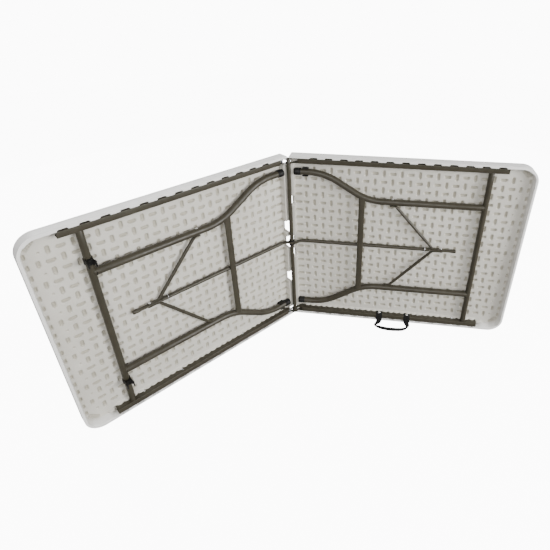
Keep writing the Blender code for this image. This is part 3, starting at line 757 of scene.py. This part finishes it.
def make_panel(half):
    """A moulded panel: fine grid underneath, rounded edges and a flat top."""
    side = half.side
    fold_lines = (0.0030, 0.0045, 0.0065, 0.0085, 0.0100, 0.0110, 0.0130, 0.0150, 0.0156, 0.0164, 0.0174,
                  0.0185)
    end_steps = (0.0015, 0.0040, 0.0070, 0.0100, 0.0118, 0.0126, 0.0140, 0.0156, 0.0175, 0.0195, 0.0215,
                 0.0230)
    stop_lines = (0.8110, 0.8155, 0.8180)
    lines = [*fold_lines, *(LENGTH - step for step in end_steps), *stop_lines]
    for k in range(SLOT_COUNT):
        for step in (SLOT_HALF, SLOT_HALF + SLOT_SLOPE):
            lines += [SLOT_FIRST[side] + k * SLOT_PITCH - step, SLOT_FIRST[side] + k * SLOT_PITCH + step]
    ps = grid_lines(PANEL_START, LENGTH, DIMPLE_FIRST_U, DIMPLE_PITCH_U, lines)
    steps = (0.0015, 0.0032, 0.0046, 0.0054, 0.0066, 0.0082, 0.0098, 0.0101, 0.0104, 0.0125, 0.0150, 0.0175,
             0.0195, 0.0303, 0.0306, 0.0310, 0.0326, 0.0342, 0.0358, 0.0368, 0.0382)
    side_lines = [*steps, *(WIDTH - d for d in steps)]
    for low, high in (*LIP_GAPS[side], (MID - BRACE_POCKET, MID + BRACE_POCKET)):
        side_lines += [low - 0.0009, low + 0.0009, high - 0.0009, high + 0.0009]
    qs = grid_lines(0.0, WIDTH, MID, DIMPLE_PITCH_W, side_lines)
    u, w, n, depth, hollow = underside(side, ps, qs)
    rows, columns = u.shape

    # The outline, as grid places that run once round.
    loop = [(i, 0) for i in range(rows)]
    loop += [(rows - 1, j) for j in range(1, columns)]
    loop += [(i, columns - 1) for i in range(rows - 2, -1, -1)]
    loop += [(0, j) for j in range(columns - 2, 0, -1)]
    outline = np.array(loop)
    edge_p, edge_q = ps[outline[:, 0]], qs[outline[:, 1]]
    edge_n = n[outline[:, 0], outline[:, 1]]

    def inset(distance):
        """The outline moved in by a distance, with its corners kept round."""

        def shrunk(x, y, radius):
            return x * (radius - distance) / radius, y * (radius - distance) / radius

        p, q = move_corners(edge_p, edge_q, shrunk)
        p = np.clip(p, PANEL_START + distance, LENGTH - distance)
        q = np.clip(q, distance, WIDTH - distance)
        return round_corners(p, q)

    points = [np.stack([u.ravel(), n.ravel(), w.ravel()], axis=1)]
    rings = [(0.0003, 0.0006), (0.0, 0.0020)]
    rings += [(0.0, 0.0380), (0.0005, 0.0403), (0.0018, 0.0422), (0.0037, 0.0435)]
    rings += [(0.0060, THICKNESS), (0.0069, THICKNESS)]
    for number, (distance, level) in enumerate(rings):
        ring_u, ring_w = inset(distance)
        ring_n = edge_n + level if number < 2 else np.full_like(edge_n, level)
        points.append(np.stack([ring_u, ring_n, ring_w], axis=1))
    points = np.concatenate(points)

    index = np.arange(rows * columns).reshape(rows, columns)
    quads = np.stack([index[:-1, :-1], index[1:, :-1], index[1:, 1:], index[:-1, 1:]], axis=-1).reshape(-1, 4)
    faces = quads.tolist()
    before = index[outline[:, 0], outline[:, 1]]
    for number in range(len(rings)):
        after = rows * columns + number * len(loop) + np.arange(len(loop))
        faces += np.stack([before, after, np.roll(after, -1), np.roll(before, -1)], axis=-1).tolist()
        before = after
    faces.append(before.tolist())

    points = np.stack(half.placed(*points.T), axis=1).tolist()
    panel = new_object(f"{side}_panel_shell", points, faces)
    # The outer shell gets neither the dimples' partly painted shade nor the recess's painted shade.
    outside = np.zeros(len(rings) * len(loop))
    add_tones(panel, depth=np.append(depth, outside), hollow=np.append(hollow, outside))
    half.add(panel, "half", "panel_plastic", "top_panel", sharp=50.0)


# ---------------------------------------------------------------- rails and hinges

SHEET = 0.0015
RAIL_INSET, RAIL_WIDTH = 0.0105, 0.020
RAIL_START, RAIL_BACK = 0.030, FLOOR_N - GAP
EYE_RADIUS = 0.012
EYE_HALF, EYE_W = 0.0025, 0.0029
PLATE_INSET, PLATE_END, PLATE_BACK = 0.0124, 0.092, FLOOR_N - 0.006
BOLT_U, BOLT_N, BOLT_RADIUS = 0.0215, 0.0090, 0.0045
SCREW_US, SCREW_N = (0.272, 0.556, 0.706), 0.0205


def inset_w(upper, inset):
    return WIDTH - inset if upper else inset


def channel_section(low, high, front, back, bend=0.0026):
    """A folded channel in (n, w), open at the back, with round outer and inner bends."""
    inner = bend - SHEET
    outer_low = arc((front + bend, low + bend), bend, 270, 180, 5)
    outer_high = arc((front + bend, high - bend), bend, 180, 90, 5)
    inner_high = arc((front + bend, high - bend), inner, 90, 180, 4)
    inner_low = arc((front + bend, low + bend), inner, 180, 270, 4)
    points = [(back, low), *outer_low, *outer_high, (back, high), (back, high - SHEET)]
    return points + inner_high + inner_low + [(back, low + SHEET)]


def ear_outline(end_u, front, back):
    """Side view in (u, n) of an ear: a round eye on the fold tube that runs into the flange."""
    start = degrees(asin((RAIL_FRONT - HINGE_N) / EYE_RADIUS)) - 30.0
    points = [(0.0150, front), (end_u, front), (end_u, back), (RAIL_START, back)]
    points += [(0.0240, back - 0.0035), (0.0180, back - 0.0085), (0.0140, back - 0.0145)]
    return points + arc((0.0, HINGE_N), EYE_RADIUS, 80.0, 360.0 + start, 36)


def add_ears(obj, half, low, high, end_u, front, back):
    """Joins two ears to the fold end of a channel and bores them for the fold tube."""
    for start in (low, high - SHEET):
        ear = prism(Shape(), half, ear_outline(end_u, front, back), "w", start, start + SHEET)
        carve(obj, ear, "UNION")
    bore = circle((0.0, HINGE_N), TUBE_RADIUS + GAP, 48)
    carve(obj, prism(Shape(), half, bore, "w", low - 0.002, high + 0.002))


def make_rail(half, level):
    upper = level == "upper"
    low, high = sorted((inset_w(upper, RAIL_INSET), inset_w(upper, RAIL_INSET + RAIL_WIDTH)))
    start = RAIL_START + 0.0055
    outline = channel_section(low, high, RAIL_FRONT, RAIL_BACK)
    rail = half.build(prism(Shape(), half, outline, "u", start, RAIL_END), f"{level}_rail_channel")
    if half.side == "right":
        add_ears(rail, half, low, high, start + 0.004, RAIL_FRONT + 0.0030, RAIL_BACK)
    hole = circle((PIVOT_U, LEG_N), PIVOT_RADIUS + GAP, 48)
    inner = inset_w(upper, RAIL_INSET + RAIL_WIDTH)
    carve(rail, prism(Shape(), half, hole, "w", inner - 0.004, inner + 0.004))
    half.add(rail, "half", "frame_steel", f"{level}_rail", bevel=0.0003)
    screws = Shape()
    way = (0, 0, -1) if upper else (0, 0, 1)
    for u in SCREW_US:
        head = [(-0.0012, 0.0030), (0.0, 0.0030), (0.0, 0.0042), (0.0006, 0.0042), (0.0013, 0.0036),
                (0.0018, 0.0022), (0.0018, 0.0014), (0.0011, 0.0009)]
        turned(screws, half, (u, SCREW_N, inner), way, head, 24)
    half.add(half.build(screws, f"{level}_rail_screws"), "half", "zinc_steel")


def make_hinge(level):
    """The left half's hinge plate, and the bolt through its two ears."""
    upper = level == "upper"
    insets = (PLATE_INSET, 2 * RAIL_INSET + RAIL_WIDTH - PLATE_INSET)
    low, high = sorted(inset_w(upper, inset) for inset in insets)
    front = RAIL_FRONT + SHEET + GAP
    start = RAIL_START + 0.004
    outline = channel_section(low, high, front, PLATE_BACK, 0.0021)
    plate = prism(Shape(), LEFT, outline, "u", start, PLATE_END).build(f"left_{level}_hinge_bracket")
    add_ears(plate, LEFT, low, high, start + 0.004, front + 0.0024, PLATE_BACK)
    LEFT.add(plate, "half", "frame_steel", f"{level}_hinge_plate", bevel=0.0003)
    inside = high - low - 2 * SHEET - 2 * GAP
    ends = [(0.0, 0.0031), (0.0002, 0.0040), (0.0010, BOLT_RADIUS), (0.0026, BOLT_RADIUS), (0.0030, 0.0037)]
    profile = ends + [(inside - along, radius) for along, radius in reversed(ends)]
    spot = (BOLT_U, BOLT_N, low + SHEET + GAP)
    bolt = turned(Shape(), LEFT, spot, ALONG_W, profile, 32)
    LEFT.add(LEFT.build(bolt, f"{level}_hinge_pin"), "half", "zinc_steel", f"{level}_hinge_bolt")


def make_fold_tube():
    start, end = (0, HINGE_N, RAIL_INSET + GAP), (0, HINGE_N, WIDTH - RAIL_INSET - GAP)
    tube = bar(Shape(), RIGHT, start, end, TUBE_RADIUS, hollow=0.0016).build("fold_tube_detailed")
    finish_piece(tube, "right_half", "frame_steel", ["fold_tube"])


def make_collar(level, sign):
    """The grooved plastic ring on the fold tube beside a brace's eye."""
    near = EYE_W + EYE_HALF + GAP
    bore, outer = TUBE_RADIUS + GAP, 0.0112
    profile = [(0.0, bore + 0.0003), (0.0, outer - 0.0008), (0.0003, outer - 0.0002), (0.0008, outer)]
    profile += [*groove(0.0022, 0.0038, outer, 0.0006), (0.0052, outer), (0.0057, outer - 0.0002)]
    profile += [(0.0060, outer - 0.0008), (0.0060, bore + 0.0003), (0.0057, bore), (0.0003, bore)]
    rings = []
    for along, radius in profile:
        w = MID + sign * (near + along)
        rings.append([RIGHT.at(u, n, w) for u, n in circle((0.0, HINGE_N), radius)])
    collar = Shape().loft(rings, joined=True).build(f"fold_collar_{level}_detailed")
    finish_piece(collar, "right_half", "black_plastic", [f"fold_collar_{level}"])


# ---------------------------------------------------------------- leg frames

LEG_BEND_U, LEG_BEND_RADIUS, LEG_BEND = 0.074, 0.21, 32.0
CAP_START, CAP_LENGTH, CAP_BORE, CAP_WALL, CAP_FLOOR = 0.0178, 0.027, 0.0130, 0.0012, 0.004
CROSSBAR_U, CROSSBAR_N = 0.2853, 0.0059
CROSSBAR_HALF_WIDTH, CROSSBAR_HALF_DEPTH = 0.012, 0.0047
RIVET_RADIUS, RIVET_HEIGHT = 0.0052, 0.0022


def leg_path():
    """Centre line of a leg in (u, distance from the middle), from the foot to the pivot tube."""
    turn = radians(LEG_BEND)
    rise = FOOT_SPACING - LEG_SPACING
    straight = (rise - 2 * LEG_BEND_RADIUS * (1 - cos(turn))) / sin(turn)
    end_u = LEG_BEND_U + 2 * LEG_BEND_RADIUS * sin(turn) + straight * cos(turn)
    first = arc((LEG_BEND_U, FOOT_SPACING - LEG_BEND_RADIUS), LEG_BEND_RADIUS, 90, 90 - LEG_BEND, 16)
    second = arc((end_u, LEG_SPACING + LEG_BEND_RADIUS), LEG_BEND_RADIUS, -90 - LEG_BEND, -90, 16)
    start = (CAP_START + CAP_FLOOR + GAP, FOOT_SPACING)
    inner = (CAP_START + CAP_LENGTH, FOOT_SPACING)
    middle = (0.5 * (end_u + PIVOT_U), LEG_SPACING)
    return [start, inner, *first, *second, middle, (PIVOT_U - 0.004, LEG_SPACING)]


def spacing_at(u):
    path = leg_path()
    for (u0, t0), (u1, t1) in zip(path, path[1:]):
        if u0 <= u <= u1:
            return t0 + (t1 - t0) * (u - u0) / (u1 - u0)
    return LEG_SPACING


def leg_shape(half, radius, sign):
    stations = [(u, LEG_N, MID + sign * t, radius, radius, 2.0) for u, t in leg_path()]
    return sweep(Shape(), half, stations, ALONG_N, 40, rounded=0.0005)


def weld(shape, half, spots, radius=0.0013, closed=True):
    """Adds a lumpy weld bead along spots of (u, n, w)."""
    stations = []
    for i, spot in enumerate(spots):
        swell = radius * (1.0 + 0.16 * cos(i * 2.4))
        stations.append((*spot, swell, swell, 2.0))
    return sweep(shape, half, stations, (0.31, 0.83, 0.46), 8, joined=closed)


def make_pivot_tube(half):
    start_w = RAIL_INSET + SHEET + GAP
    ends = ((PIVOT_U, LEG_N, start_w), (PIVOT_U, LEG_N, WIDTH - start_w))
    tube = bar(Shape(), half, *ends, PIVOT_RADIUS, hollow=0.0018)
    half.add(half.build(tube, "pivot_tube_detailed"), "leg_frame", "frame_steel", "pivot_tube")


def make_leg(half, level, sign):
    ends = ((PIVOT_U, LEG_N, 0.0), (PIVOT_U, LEG_N, WIDTH))
    leg = half.build(leg_shape(half, LEG_RADIUS, sign), f"leg_{level}_tube")
    carve(leg, bar(Shape(), half, *ends, PIVOT_RADIUS + GAP))
    middle = MID + sign * LEG_SPACING
    slit = rectangle(PIVOT_U - 0.0118, PIVOT_U - 0.0090, middle - 0.0110, middle + 0.0030)
    carve(leg, prism(Shape(), half, slit, "n", -0.01, LEG_N - 0.0062))
    half.add(leg, "leg_frame", "frame_steel", f"leg_{level}")


def make_crossbar(half):
    half_span = spacing_at(CROSSBAR_U) - 0.002
    stations = []
    for share, flare in ((-1, 1), (-0.93, 1), (-0.85, 0), (0, 0), (0.85, 0), (0.93, 1), (1, 1)):
        w, half_width = MID + share * half_span, CROSSBAR_HALF_WIDTH + 0.0015 * flare
        stations.append((CROSSBAR_U, CROSSBAR_N, w, half_width, CROSSBAR_HALF_DEPTH, 2.6))
    crossbar = half.build(sweep(Shape(), half, eased(stations, 2), ALONG_N, 40), "crossbar_detailed")
    for sign in (-1, 1):
        carve(crossbar, leg_shape(half, LEG_RADIUS + GAP, sign))
    half.add(crossbar, "leg_frame", "frame_steel", "leg_crossbar")


def make_welds(half):
    """Beads where the crossbar meets the legs and where the legs meet the pivot tube."""
    beads = Shape()
    for sign in (-1, 1):
        spots = []
        for i in range(15):
            u = CROSSBAR_U - CROSSBAR_HALF_WIDTH + 2 * CROSSBAR_HALF_WIDTH * i / 14
            n = CROSSBAR_N - CROSSBAR_HALF_DEPTH * (1 - abs(2 * i / 14 - 1) ** 3) ** 0.4 + 0.0004
            reach = (LEG_RADIUS ** 2 - (LEG_N - n) ** 2) ** 0.5
            spots.append((u, n, MID + sign * (spacing_at(u) - reach - 0.0004)))
        weld(beads, half, spots, 0.0011, closed=False)
        spots = []
        for i in range(40):
            angle = 2 * pi * i / 40
            t, n = LEG_RADIUS * cos(angle), LEG_RADIUS * sin(angle)
            drop = max(PIVOT_RADIUS ** 2 - n ** 2, 0.0) ** 0.5
            spots.append((PIVOT_U - drop - 0.0006, LEG_N + n * 0.86, MID + sign * LEG_SPACING + t * 0.97))
        weld(beads, half, spots, 0.0010)
    half.add(half.build(beads, "weld_beads"), "leg_frame", "frame_steel", sharp=60)


def make_foot_cap(half, level, sign):
    """A cap with a rounded rim, two grooves and a bore for the leg."""
    outer, length = CAP_BORE + CAP_WALL, CAP_LENGTH
    profile = [(0.0012, 0.0), (0.0012, 0.0050), (0.0002, 0.0062), (0.0, outer - 0.0032)]
    profile += [(0.0003, outer - 0.0019), (0.0011, outer - 0.0007), (0.0024, outer)]
    profile += groove(0.0068, 0.0086, outer, 0.0005)
    profile += groove(length - 0.0048, length - 0.0026, outer, 0.0004, 0.0004)
    profile += [(length - 0.0005, outer), (length, outer - 0.0005), (length, CAP_BORE)]
    profile += [(CAP_FLOOR, CAP_BORE), (CAP_FLOOR, 0.0)]
    spot = (CAP_START, LEG_N, MID + sign * FOOT_SPACING)
    profile = [(along, max(radius, 0.0002)) for along, radius in profile]
    cap = half.build(turned(Shape(), half, spot, ALONG_U, profile, 48), f"foot_cap_{level}_detailed")
    half.add(cap, "leg_frame", "black_plastic", f"foot_cap_{level}", sharp=50)


def make_rivet(half, name, body, spot, sign):
    """A domed rivet head with a thin washer, whose flat side faces the middle of the table."""
    u, n, t = spot
    washer, dome = 0.0007, 0.9 * RIVET_RADIUS
    profile = [(0.0, RIVET_RADIUS), (0.0004, RIVET_RADIUS), (0.0005, RIVET_RADIUS * 0.94), (washer, dome)]
    for share in (0.15, 0.35, 0.55, 0.75, 0.90, 1.0):
        angle = share * pi / 2
        profile.append((washer + (RIVET_HEIGHT - washer) * sin(angle), dome * cos(angle * 0.96)))
    head = turned(Shape(), half, (u, n, MID + sign * t), (0, 0, sign), profile, 32).build(f"{name}_head")
    finish_piece(head, body, "zinc_steel", [name], sharp=60)


# ---------------------------------------------------------------- braces, forks and rings

FORK_RADIUS, FORK_FLAT_HALF, FORK_FLAT_T = 0.0063, 0.0018, 0.0061
TAB_HALF, BRACE_RADIUS, BRACE_END = 0.0023, 0.0075, 0.673
RING_WIRE, RING_HALF_N, RING_HALF_W, RING_CORNER, RING_DROP = 0.0012, 0.0093, 0.0140, 0.0052, 0.0045


def make_brace(half):
    """A flattened eye on the fold tube, a cranked tube, a flat for the fork and a swelled tail."""
    sign = -half.sign
    flat = JOINT_U - 0.047
    stations = [
        (-0.0118, HINGE_N, 1.0, 0.0040, EYE_HALF, 3.5),
        (-0.0090, HINGE_N, 1.0, 0.0086, EYE_HALF, 3.5),
        (-0.0040, HINGE_N, 1.0, 0.0116, EYE_HALF, 3.5),
        (0.0060, HINGE_N + 0.0006, 1.0, 0.0118, EYE_HALF, 3.5),
        (0.0130, HINGE_N + 0.0040, 1.0, 0.0112, EYE_HALF, 3.5),
        (0.0190, HINGE_N + 0.0090, 1.0, 0.0102, 0.0026, 3.0),
        (0.0260, HINGE_N + 0.0148, 0.9, 0.0090, 0.0034, 2.8),
        (0.0350, HINGE_N + 0.0188, 0.6, 0.0080, 0.0050, 2.3),
        (0.0460, BRACE_N - 0.0004, 0.25, BRACE_RADIUS, 0.0068, 2.0),
        (0.0600, BRACE_N, 0.0, BRACE_RADIUS, BRACE_RADIUS, 2.0),
        (flat - 0.016, BRACE_N, 0.0, BRACE_RADIUS, BRACE_RADIUS, 2.0),
        (flat, BRACE_N, 0.0, 0.0078, 0.0040, 3.0),
        (flat + 0.016, BRACE_N, 0.0, 0.0078, 0.0040, 3.0),
        (JOINT_U + 0.024, BRACE_N, 0.0, 0.0078, 0.0040, 3.0),
        (JOINT_U + 0.036, BRACE_N, 0.0, 0.0078, 0.0040, 3.0),
        (JOINT_U + 0.044, BRACE_N, 0.0, BRACE_RADIUS, 0.0072, 2.2),
        (BRACE_END - 0.004, BRACE_N, 0.0, BRACE_RADIUS, 0.0072, 2.2),
        (BRACE_END, BRACE_N, 0.0, 0.0058, 0.0055, 2.0),
    ]
    placed = [(u, n, MID + sign * EYE_W * f, a, b, p) for u, n, f, a, b, p in stations]
    head, tube = eased(placed[:10], 2), eased(placed[9:], 2)
    brace = half.build(sweep(Shape(), half, head + tube[1:], ALONG_W, 36), "centre_brace_detailed")
    bore = circle((0.0, HINGE_N), TUBE_RADIUS + GAP, 48)
    carve(brace, prism(Shape(), half, bore, "w", MID - 0.02, MID + 0.02))
    half.add(brace, "brace", "frame_steel", "centre_brace")


def make_fork(half):
    """Two thin tubes, flattened at both ends, from the legs to the brace."""
    tab_t = LEG_SPACING - LEG_RADIUS - GAP - TAB_HALF
    bend_u = JOINT_U - 0.0292
    stations = [
        (FORK_U - 0.0085, LEG_N, tab_t, TAB_HALF, 0.0050, 3.0),
        (FORK_U - 0.0040, LEG_N, tab_t, TAB_HALF, 0.0072, 3.0),
        (FORK_U + 0.0070, LEG_N, tab_t, TAB_HALF, 0.0072, 3.0),
        (FORK_U + 0.0150, LEG_N, tab_t - 0.0030, 0.0035, 0.0070, 2.4),
        (FORK_U + 0.0250, LEG_N + 0.0004, tab_t - 0.0125, FORK_RADIUS, FORK_RADIUS, 2.0),
        (bend_u - 0.0150, BRACE_N - 0.0002, FORK_FLAT_T + 0.0125, FORK_RADIUS, FORK_RADIUS, 2.0),
        (bend_u - 0.0040, BRACE_N, FORK_FLAT_T + 0.0020, 0.0026, 0.0056, 2.6),
        (bend_u + 0.0020, BRACE_N, FORK_FLAT_T, FORK_FLAT_HALF, 0.0057, 3.0),
        (JOINT_U + 0.0050, BRACE_N, FORK_FLAT_T, FORK_FLAT_HALF, 0.0060, 3.0),
        (JOINT_U + 0.0090, BRACE_N, FORK_FLAT_T, FORK_FLAT_HALF, 0.0040, 3.0),
    ]
    for level, sign in LEVELS.items():
        placed = [(u, n, MID + sign * t, a, b, p) for u, n, t, a, b, p in stations]
        tube = sweep(Shape(), half, eased(placed, 2), ALONG_N, 32, rounded=0.0006)
        half.add(half.build(tube, f"fork_{level}_detailed"), "fork", "frame_steel", f"fork_{level}")
        spot = (JOINT_U, BRACE_N, FORK_FLAT_T + FORK_FLAT_HALF + GAP)
        make_rivet(half, f"{half.side}_fork_rivet_{level}", f"{half.side}_fork", spot, sign)


def make_ring(half):
    straight_n, straight_w = RING_HALF_N - RING_CORNER, RING_HALF_W - RING_CORNER
    points = []
    for sn, sw, start in ((1, 1, 0), (-1, 1, 90), (-1, -1, 180), (1, -1, 270)):
        corner = (BRACE_N + sn * straight_n, MID - RING_DROP + sw * straight_w)
        points += arc(corner, RING_CORNER, start, start + 90, 10)
    stations = [(RING_U, n, w, RING_WIRE, RING_WIRE, 2.0) for n, w in points]
    ring = sweep(Shape(), half, stations, ALONG_U, 20, joined=True)
    half.add(half.build(ring, "lock_ring_wire"), "ring", "zinc_steel", "lock_ring")


# ---------------------------------------------------------------- clips

CLIP_WALL, CLIP_MOUTH = 0.0026, 50.0
RETAINER_START, RETAINER_LENGTH = {"right": 0.050, "left": 0.049}, 0.024
RETAINER_WALL, RETAINER_TOP = 0.0028, 0.0035


def clip_outline(wall):
    """Two jaws back to back in (u, n): one round the left pivot tube, one for the right pivot tube."""
    inner, outer = PIVOT_RADIUS + GAP, PIVOT_RADIUS + GAP + wall
    near, far = (PIVOT_U, LEG_N), (PIVOT_U, 2 * HINGE_N - LEG_N)
    tip = 90.0 - CLIP_MOUTH
    points = arc(near, outer, tip, -38.0, 16)
    points += arc(far, outer, 38.0, -tip, 16)
    points += arc(far, inner, -tip, 180.0 + tip, 48)
    points += arc(far, outer, 180.0 + tip, 142.0, 16)
    points += arc(near, outer, 218.0, 180.0 - tip, 16)
    return points + arc(near, inner, 180.0 - tip, 360.0 + tip, 48)


def make_closing_clip(level):
    """A double clip with rounded rims and two moulded grooves round it."""
    low, high = (corner[2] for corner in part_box(f"closing_clip_{level}"))
    steps = [(0.0, 0.0007), (0.0003, 0.0002), (0.0008, 0.0), *groove(0.0044, 0.0066, 0.0, -0.0006)]
    middle = (high - low) / 2
    steps += [(2 * middle - along, less) for along, less in reversed(steps)]
    rings = []
    for along, less in steps:
        outline = clip_outline(CLIP_WALL - less)
        rings.append([LEFT.at(u, n, low + along) for u, n in outline])
    clip = Shape().loft(rings).build(f"closing_clip_{level}_detailed")
    finish_piece(clip, f"clip_{level}", "black_plastic", [f"closing_clip_{level}"])


def make_retainer(half):
    """The open clip on the panel that one folded leg lies in, with ribs on its sides."""
    upper = half.side == "right"
    w = MID + (FOOT_SPACING if upper else -FOOT_SPACING)
    inner = LEG_RADIUS + GAP
    outer = inner + RETAINER_WALL
    base = FLOOR_N - GAP
    right = [(base, w + outer - 0.003), (base - 0.0009, w + outer - 0.0009), (base - 0.003, w + outer)]
    right += [(RETAINER_TOP + 0.0012, w + outer), (RETAINER_TOP + 0.0003, w + outer - 0.0004)]
    right += [(RETAINER_TOP, w + outer - 0.0012), (RETAINER_TOP + 0.0004, w + inner + 0.0006)]
    right += [(RETAINER_TOP + 0.0016, w + inner + 0.0001)]
    left = [(n, 2 * w - side) for n, side in reversed(right)]
    points = left + right + arc((LEG_N, w), inner, 90, -90, 32)
    start = RETAINER_START[half.side]
    clip = half.build(prism(Shape(), half, points, "u", start, start + RETAINER_LENGTH), "retainer_detailed")
    for u in (start + 0.0055, start + 0.0120, start + 0.0185):
        for sign in (-1, 1):
            edge = w + sign * outer
            low, high = sorted((edge - sign * 0.0010, edge + sign * 0.003))
            slot = rectangle(u - 0.0016, u + 0.0016, low, high)
            carve(clip, prism(Shape(), half, slot, "n", 0.0085, base - 0.0045))
    half.add(clip, "half", "black_plastic", "leg_retainer", bevel=0.00035)


# ---------------------------------------------------------------- carry handle

HANDLE_US = (0.386, 0.508)
STRAP_HALF, STRAP_THICK = 0.0130, 0.0010
RIVET_N = 0.0125


def strap_end(u, sign):
    """Strap stations from the riveted end to the free loop.

    Each is (u, n, w, half width, half thickness, power, side). The side is -u on the inner leg and +u on
    the outer one."""
    face_w = RAIL_INSET + RAIL_WIDTH + GAP + STRAP_THICK
    front_n = RAIL_FRONT - GAP - STRAP_THICK
    bend = 0.0039
    side = (-sign, 0, 0)
    spots = [(0.0240, face_w), (0.0236, face_w), (0.0200, face_w), (0.0140, face_w), (0.0080, face_w)]
    spots += arc((front_n + bend, face_w - bend), bend, 90, 180, 6)
    spots += [(front_n, 0.0225), (front_n, 0.0185), (front_n - 0.0002, 0.0158), (front_n - 0.0007, 0.0136)]
    spots += [(-0.0034, 0.0117), (-0.0062, 0.0101), (-0.0098, 0.0082)]
    return [(u, n, w, STRAP_HALF, STRAP_THICK, 5.0, side) for n, w in spots]


def make_handle():
    """Webbing riveted to the lower rail: two flat legs that fold into a narrow, doubled grip."""
    inner, outer = HANDLE_US
    low = 0.0048
    free = [
        (inner - 0.0010, -0.0155, 0.0055, 0.0112, 0.0008, 4.0),
        (inner - 0.0036, -0.0220, 0.0044, 0.0104, 0.0011, 3.2),
        (inner - 0.0095, -0.0290, 0.0040, 0.0078, 0.0019, 2.6),
        (inner - 0.0150, -0.0350, 0.0040, 0.0054, 0.0028, 2.3),
        (inner - 0.0162, -0.0395, 0.0042, 0.0048, 0.0032, 2.3),
        (inner - 0.0120, -0.0450, 0.0045, 0.0047, 0.0037, 2.3),
        (inner - 0.0020, -0.0505, low, 0.0070, 0.0044, 2.6),
        (inner + 0.0150, -0.0555, low, 0.0084, 0.0045, 2.8),
        (inner + 0.0340, -0.0588, low, 0.0088, 0.0045, 2.8),
        (inner + 0.0560, -0.0598, low, 0.0088, 0.0045, 2.8),
        (inner + 0.0780, -0.0584, low, 0.0086, 0.0045, 2.8),
        (outer - 0.0240, -0.0560, low, 0.0080, 0.0045, 2.6),
        (outer - 0.0100, -0.0500, low, 0.0066, 0.0042, 2.4),
        (outer - 0.0015, -0.0430, 0.0044, 0.0047, 0.0036, 2.3),
        (outer + 0.0025, -0.0365, 0.0040, 0.0056, 0.0029, 2.3),
        (outer + 0.0038, -0.0290, 0.0040, 0.0080, 0.0018, 2.6),
        (outer + 0.0040, -0.0220, 0.0044, 0.0106, 0.0011, 3.2),
        (outer + 0.0014, -0.0155, 0.0055, 0.0114, 0.0008, 4.0),
    ]
    start = strap_end(inner, 1)
    end = strap_end(outer, -1)[::-1]
    middle = eased([start[-1][:6], *free, end[0][:6]], 2)
    stations = start + [(*station, None) for station in middle[1:-1]] + end
    last = len(stations) - 1
    centres = [Vector(station[:3]) for station in stations]
    rings, tones, travelled = [], [], 0.0
    for i, (*_, half_width, half_thick, power, hint) in enumerate(stations):
        tangent = (centres[min(i + 1, last)] - centres[max(i - 1, 0)]).normalized()
        side = Vector(hint) if hint else tangent.cross(Vector(ALONG_W))
        side = (side - tangent * side.dot(tangent)).normalized()
        over = side.cross(tangent)
        if i:
            travelled += (centres[i] - centres[i - 1]).length
        end_share = 0.55 if i in (0, last) else 1.0
        fold = min(1.0, max(0.0, (half_thick - 0.0012) / 0.0020))
        ring = []
        for a, b in rounded_box(half_width, end_share * half_thick, power, 36):
            b *= 1.0 - 0.30 * fold * max(0.0, 1.0 - abs(a) / (0.35 * half_width))
            ring.append(RIGHT.at(*(centres[i] + side * a + over * b)))
            tones.append((travelled, a))
        rings.append(ring)
    strap = Shape().loft(rings).build("carry_strap")
    along, across = zip(*tones)
    add_tones(strap, strap_along=along, strap_across=across)
    nodes = ["carry_handle", "handle_anchor_inner", "handle_anchor_outer"]
    finish_piece(strap, None, "black_webbing", nodes, sharp=50)
    middle_u = (inner + outer) / 2
    RIGHT.at(middle_u, -0.0008, 0.0174)
    RIGHT.at(middle_u, -0.0047, 0.0111)
    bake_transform(strap)
    for level, u in zip(("inner", "outer"), HANDLE_US):
        spot = (u, RIVET_N, RAIL_INSET + RAIL_WIDTH + 2 * GAP + 2 * STRAP_THICK - MID)
        make_rivet(RIGHT, f"handle_rivet_{level}", "right_half", spot, 1)


# ---------------------------------------------------------------- scene


def make_studio():
    """A pale floor that curves up into a backdrop all round. It is seen, but throws no light on the table."""
    profile = [(0.02, 0.0), (6.0, 0.0)] + [(6.0 + x, 5.0 + y) for x, y in arc((0.0, 0.0), 5.0, -90, 60, 24)]
    profile += [(4.0, 12.0), (0.02, 13.0)]
    rings = [[(x, y, z - 0.0006) for x, y in circle((0.0, 0.0), r, 96)] for r, z in profile]
    studio = Shape().loft(rings).build("studio")
    studio.data.materials.append(floor_paint())
    studio.data.shade_smooth()
    studio.visible_diffuse = studio.visible_glossy = studio.visible_shadow = False


make_camera()
make_world(0.46)
make_studio()
for half in (RIGHT, LEFT):
    make_panel(half)
    make_pivot_tube(half)
    make_crossbar(half)
    make_welds(half)
    make_brace(half)
    make_fork(half)
    make_ring(half)
    make_retainer(half)
    for level, sign in LEVELS.items():
        make_rail(half, level)
        make_leg(half, level, sign)
        make_foot_cap(half, level, sign)
        spot = (FORK_U, LEG_N, LEG_SPACING + LEG_RADIUS + GAP)
        make_rivet(half, f"{half.side}_leg_rivet_{level}", f"{half.side}_leg_frame", spot, sign)
make_fold_tube()
for level, sign in LEVELS.items():
    make_hinge(level)
    make_collar(level, sign)
    make_closing_clip(level)
make_handle()
area_light("key", (2.4, -2.5, 1.2), (0.0, 0.0, 0.40), (1.8, 1.4), 172)
area_light("back", (-1.2, 3.2, 3.4), (0.0, 0.0, 0.35), (3.0, 2.0), 200)
area_light("front", (-1.0, -3.0, 2.2), (0.1, 0.0, 0.35), (2.4, 2.0), 85)
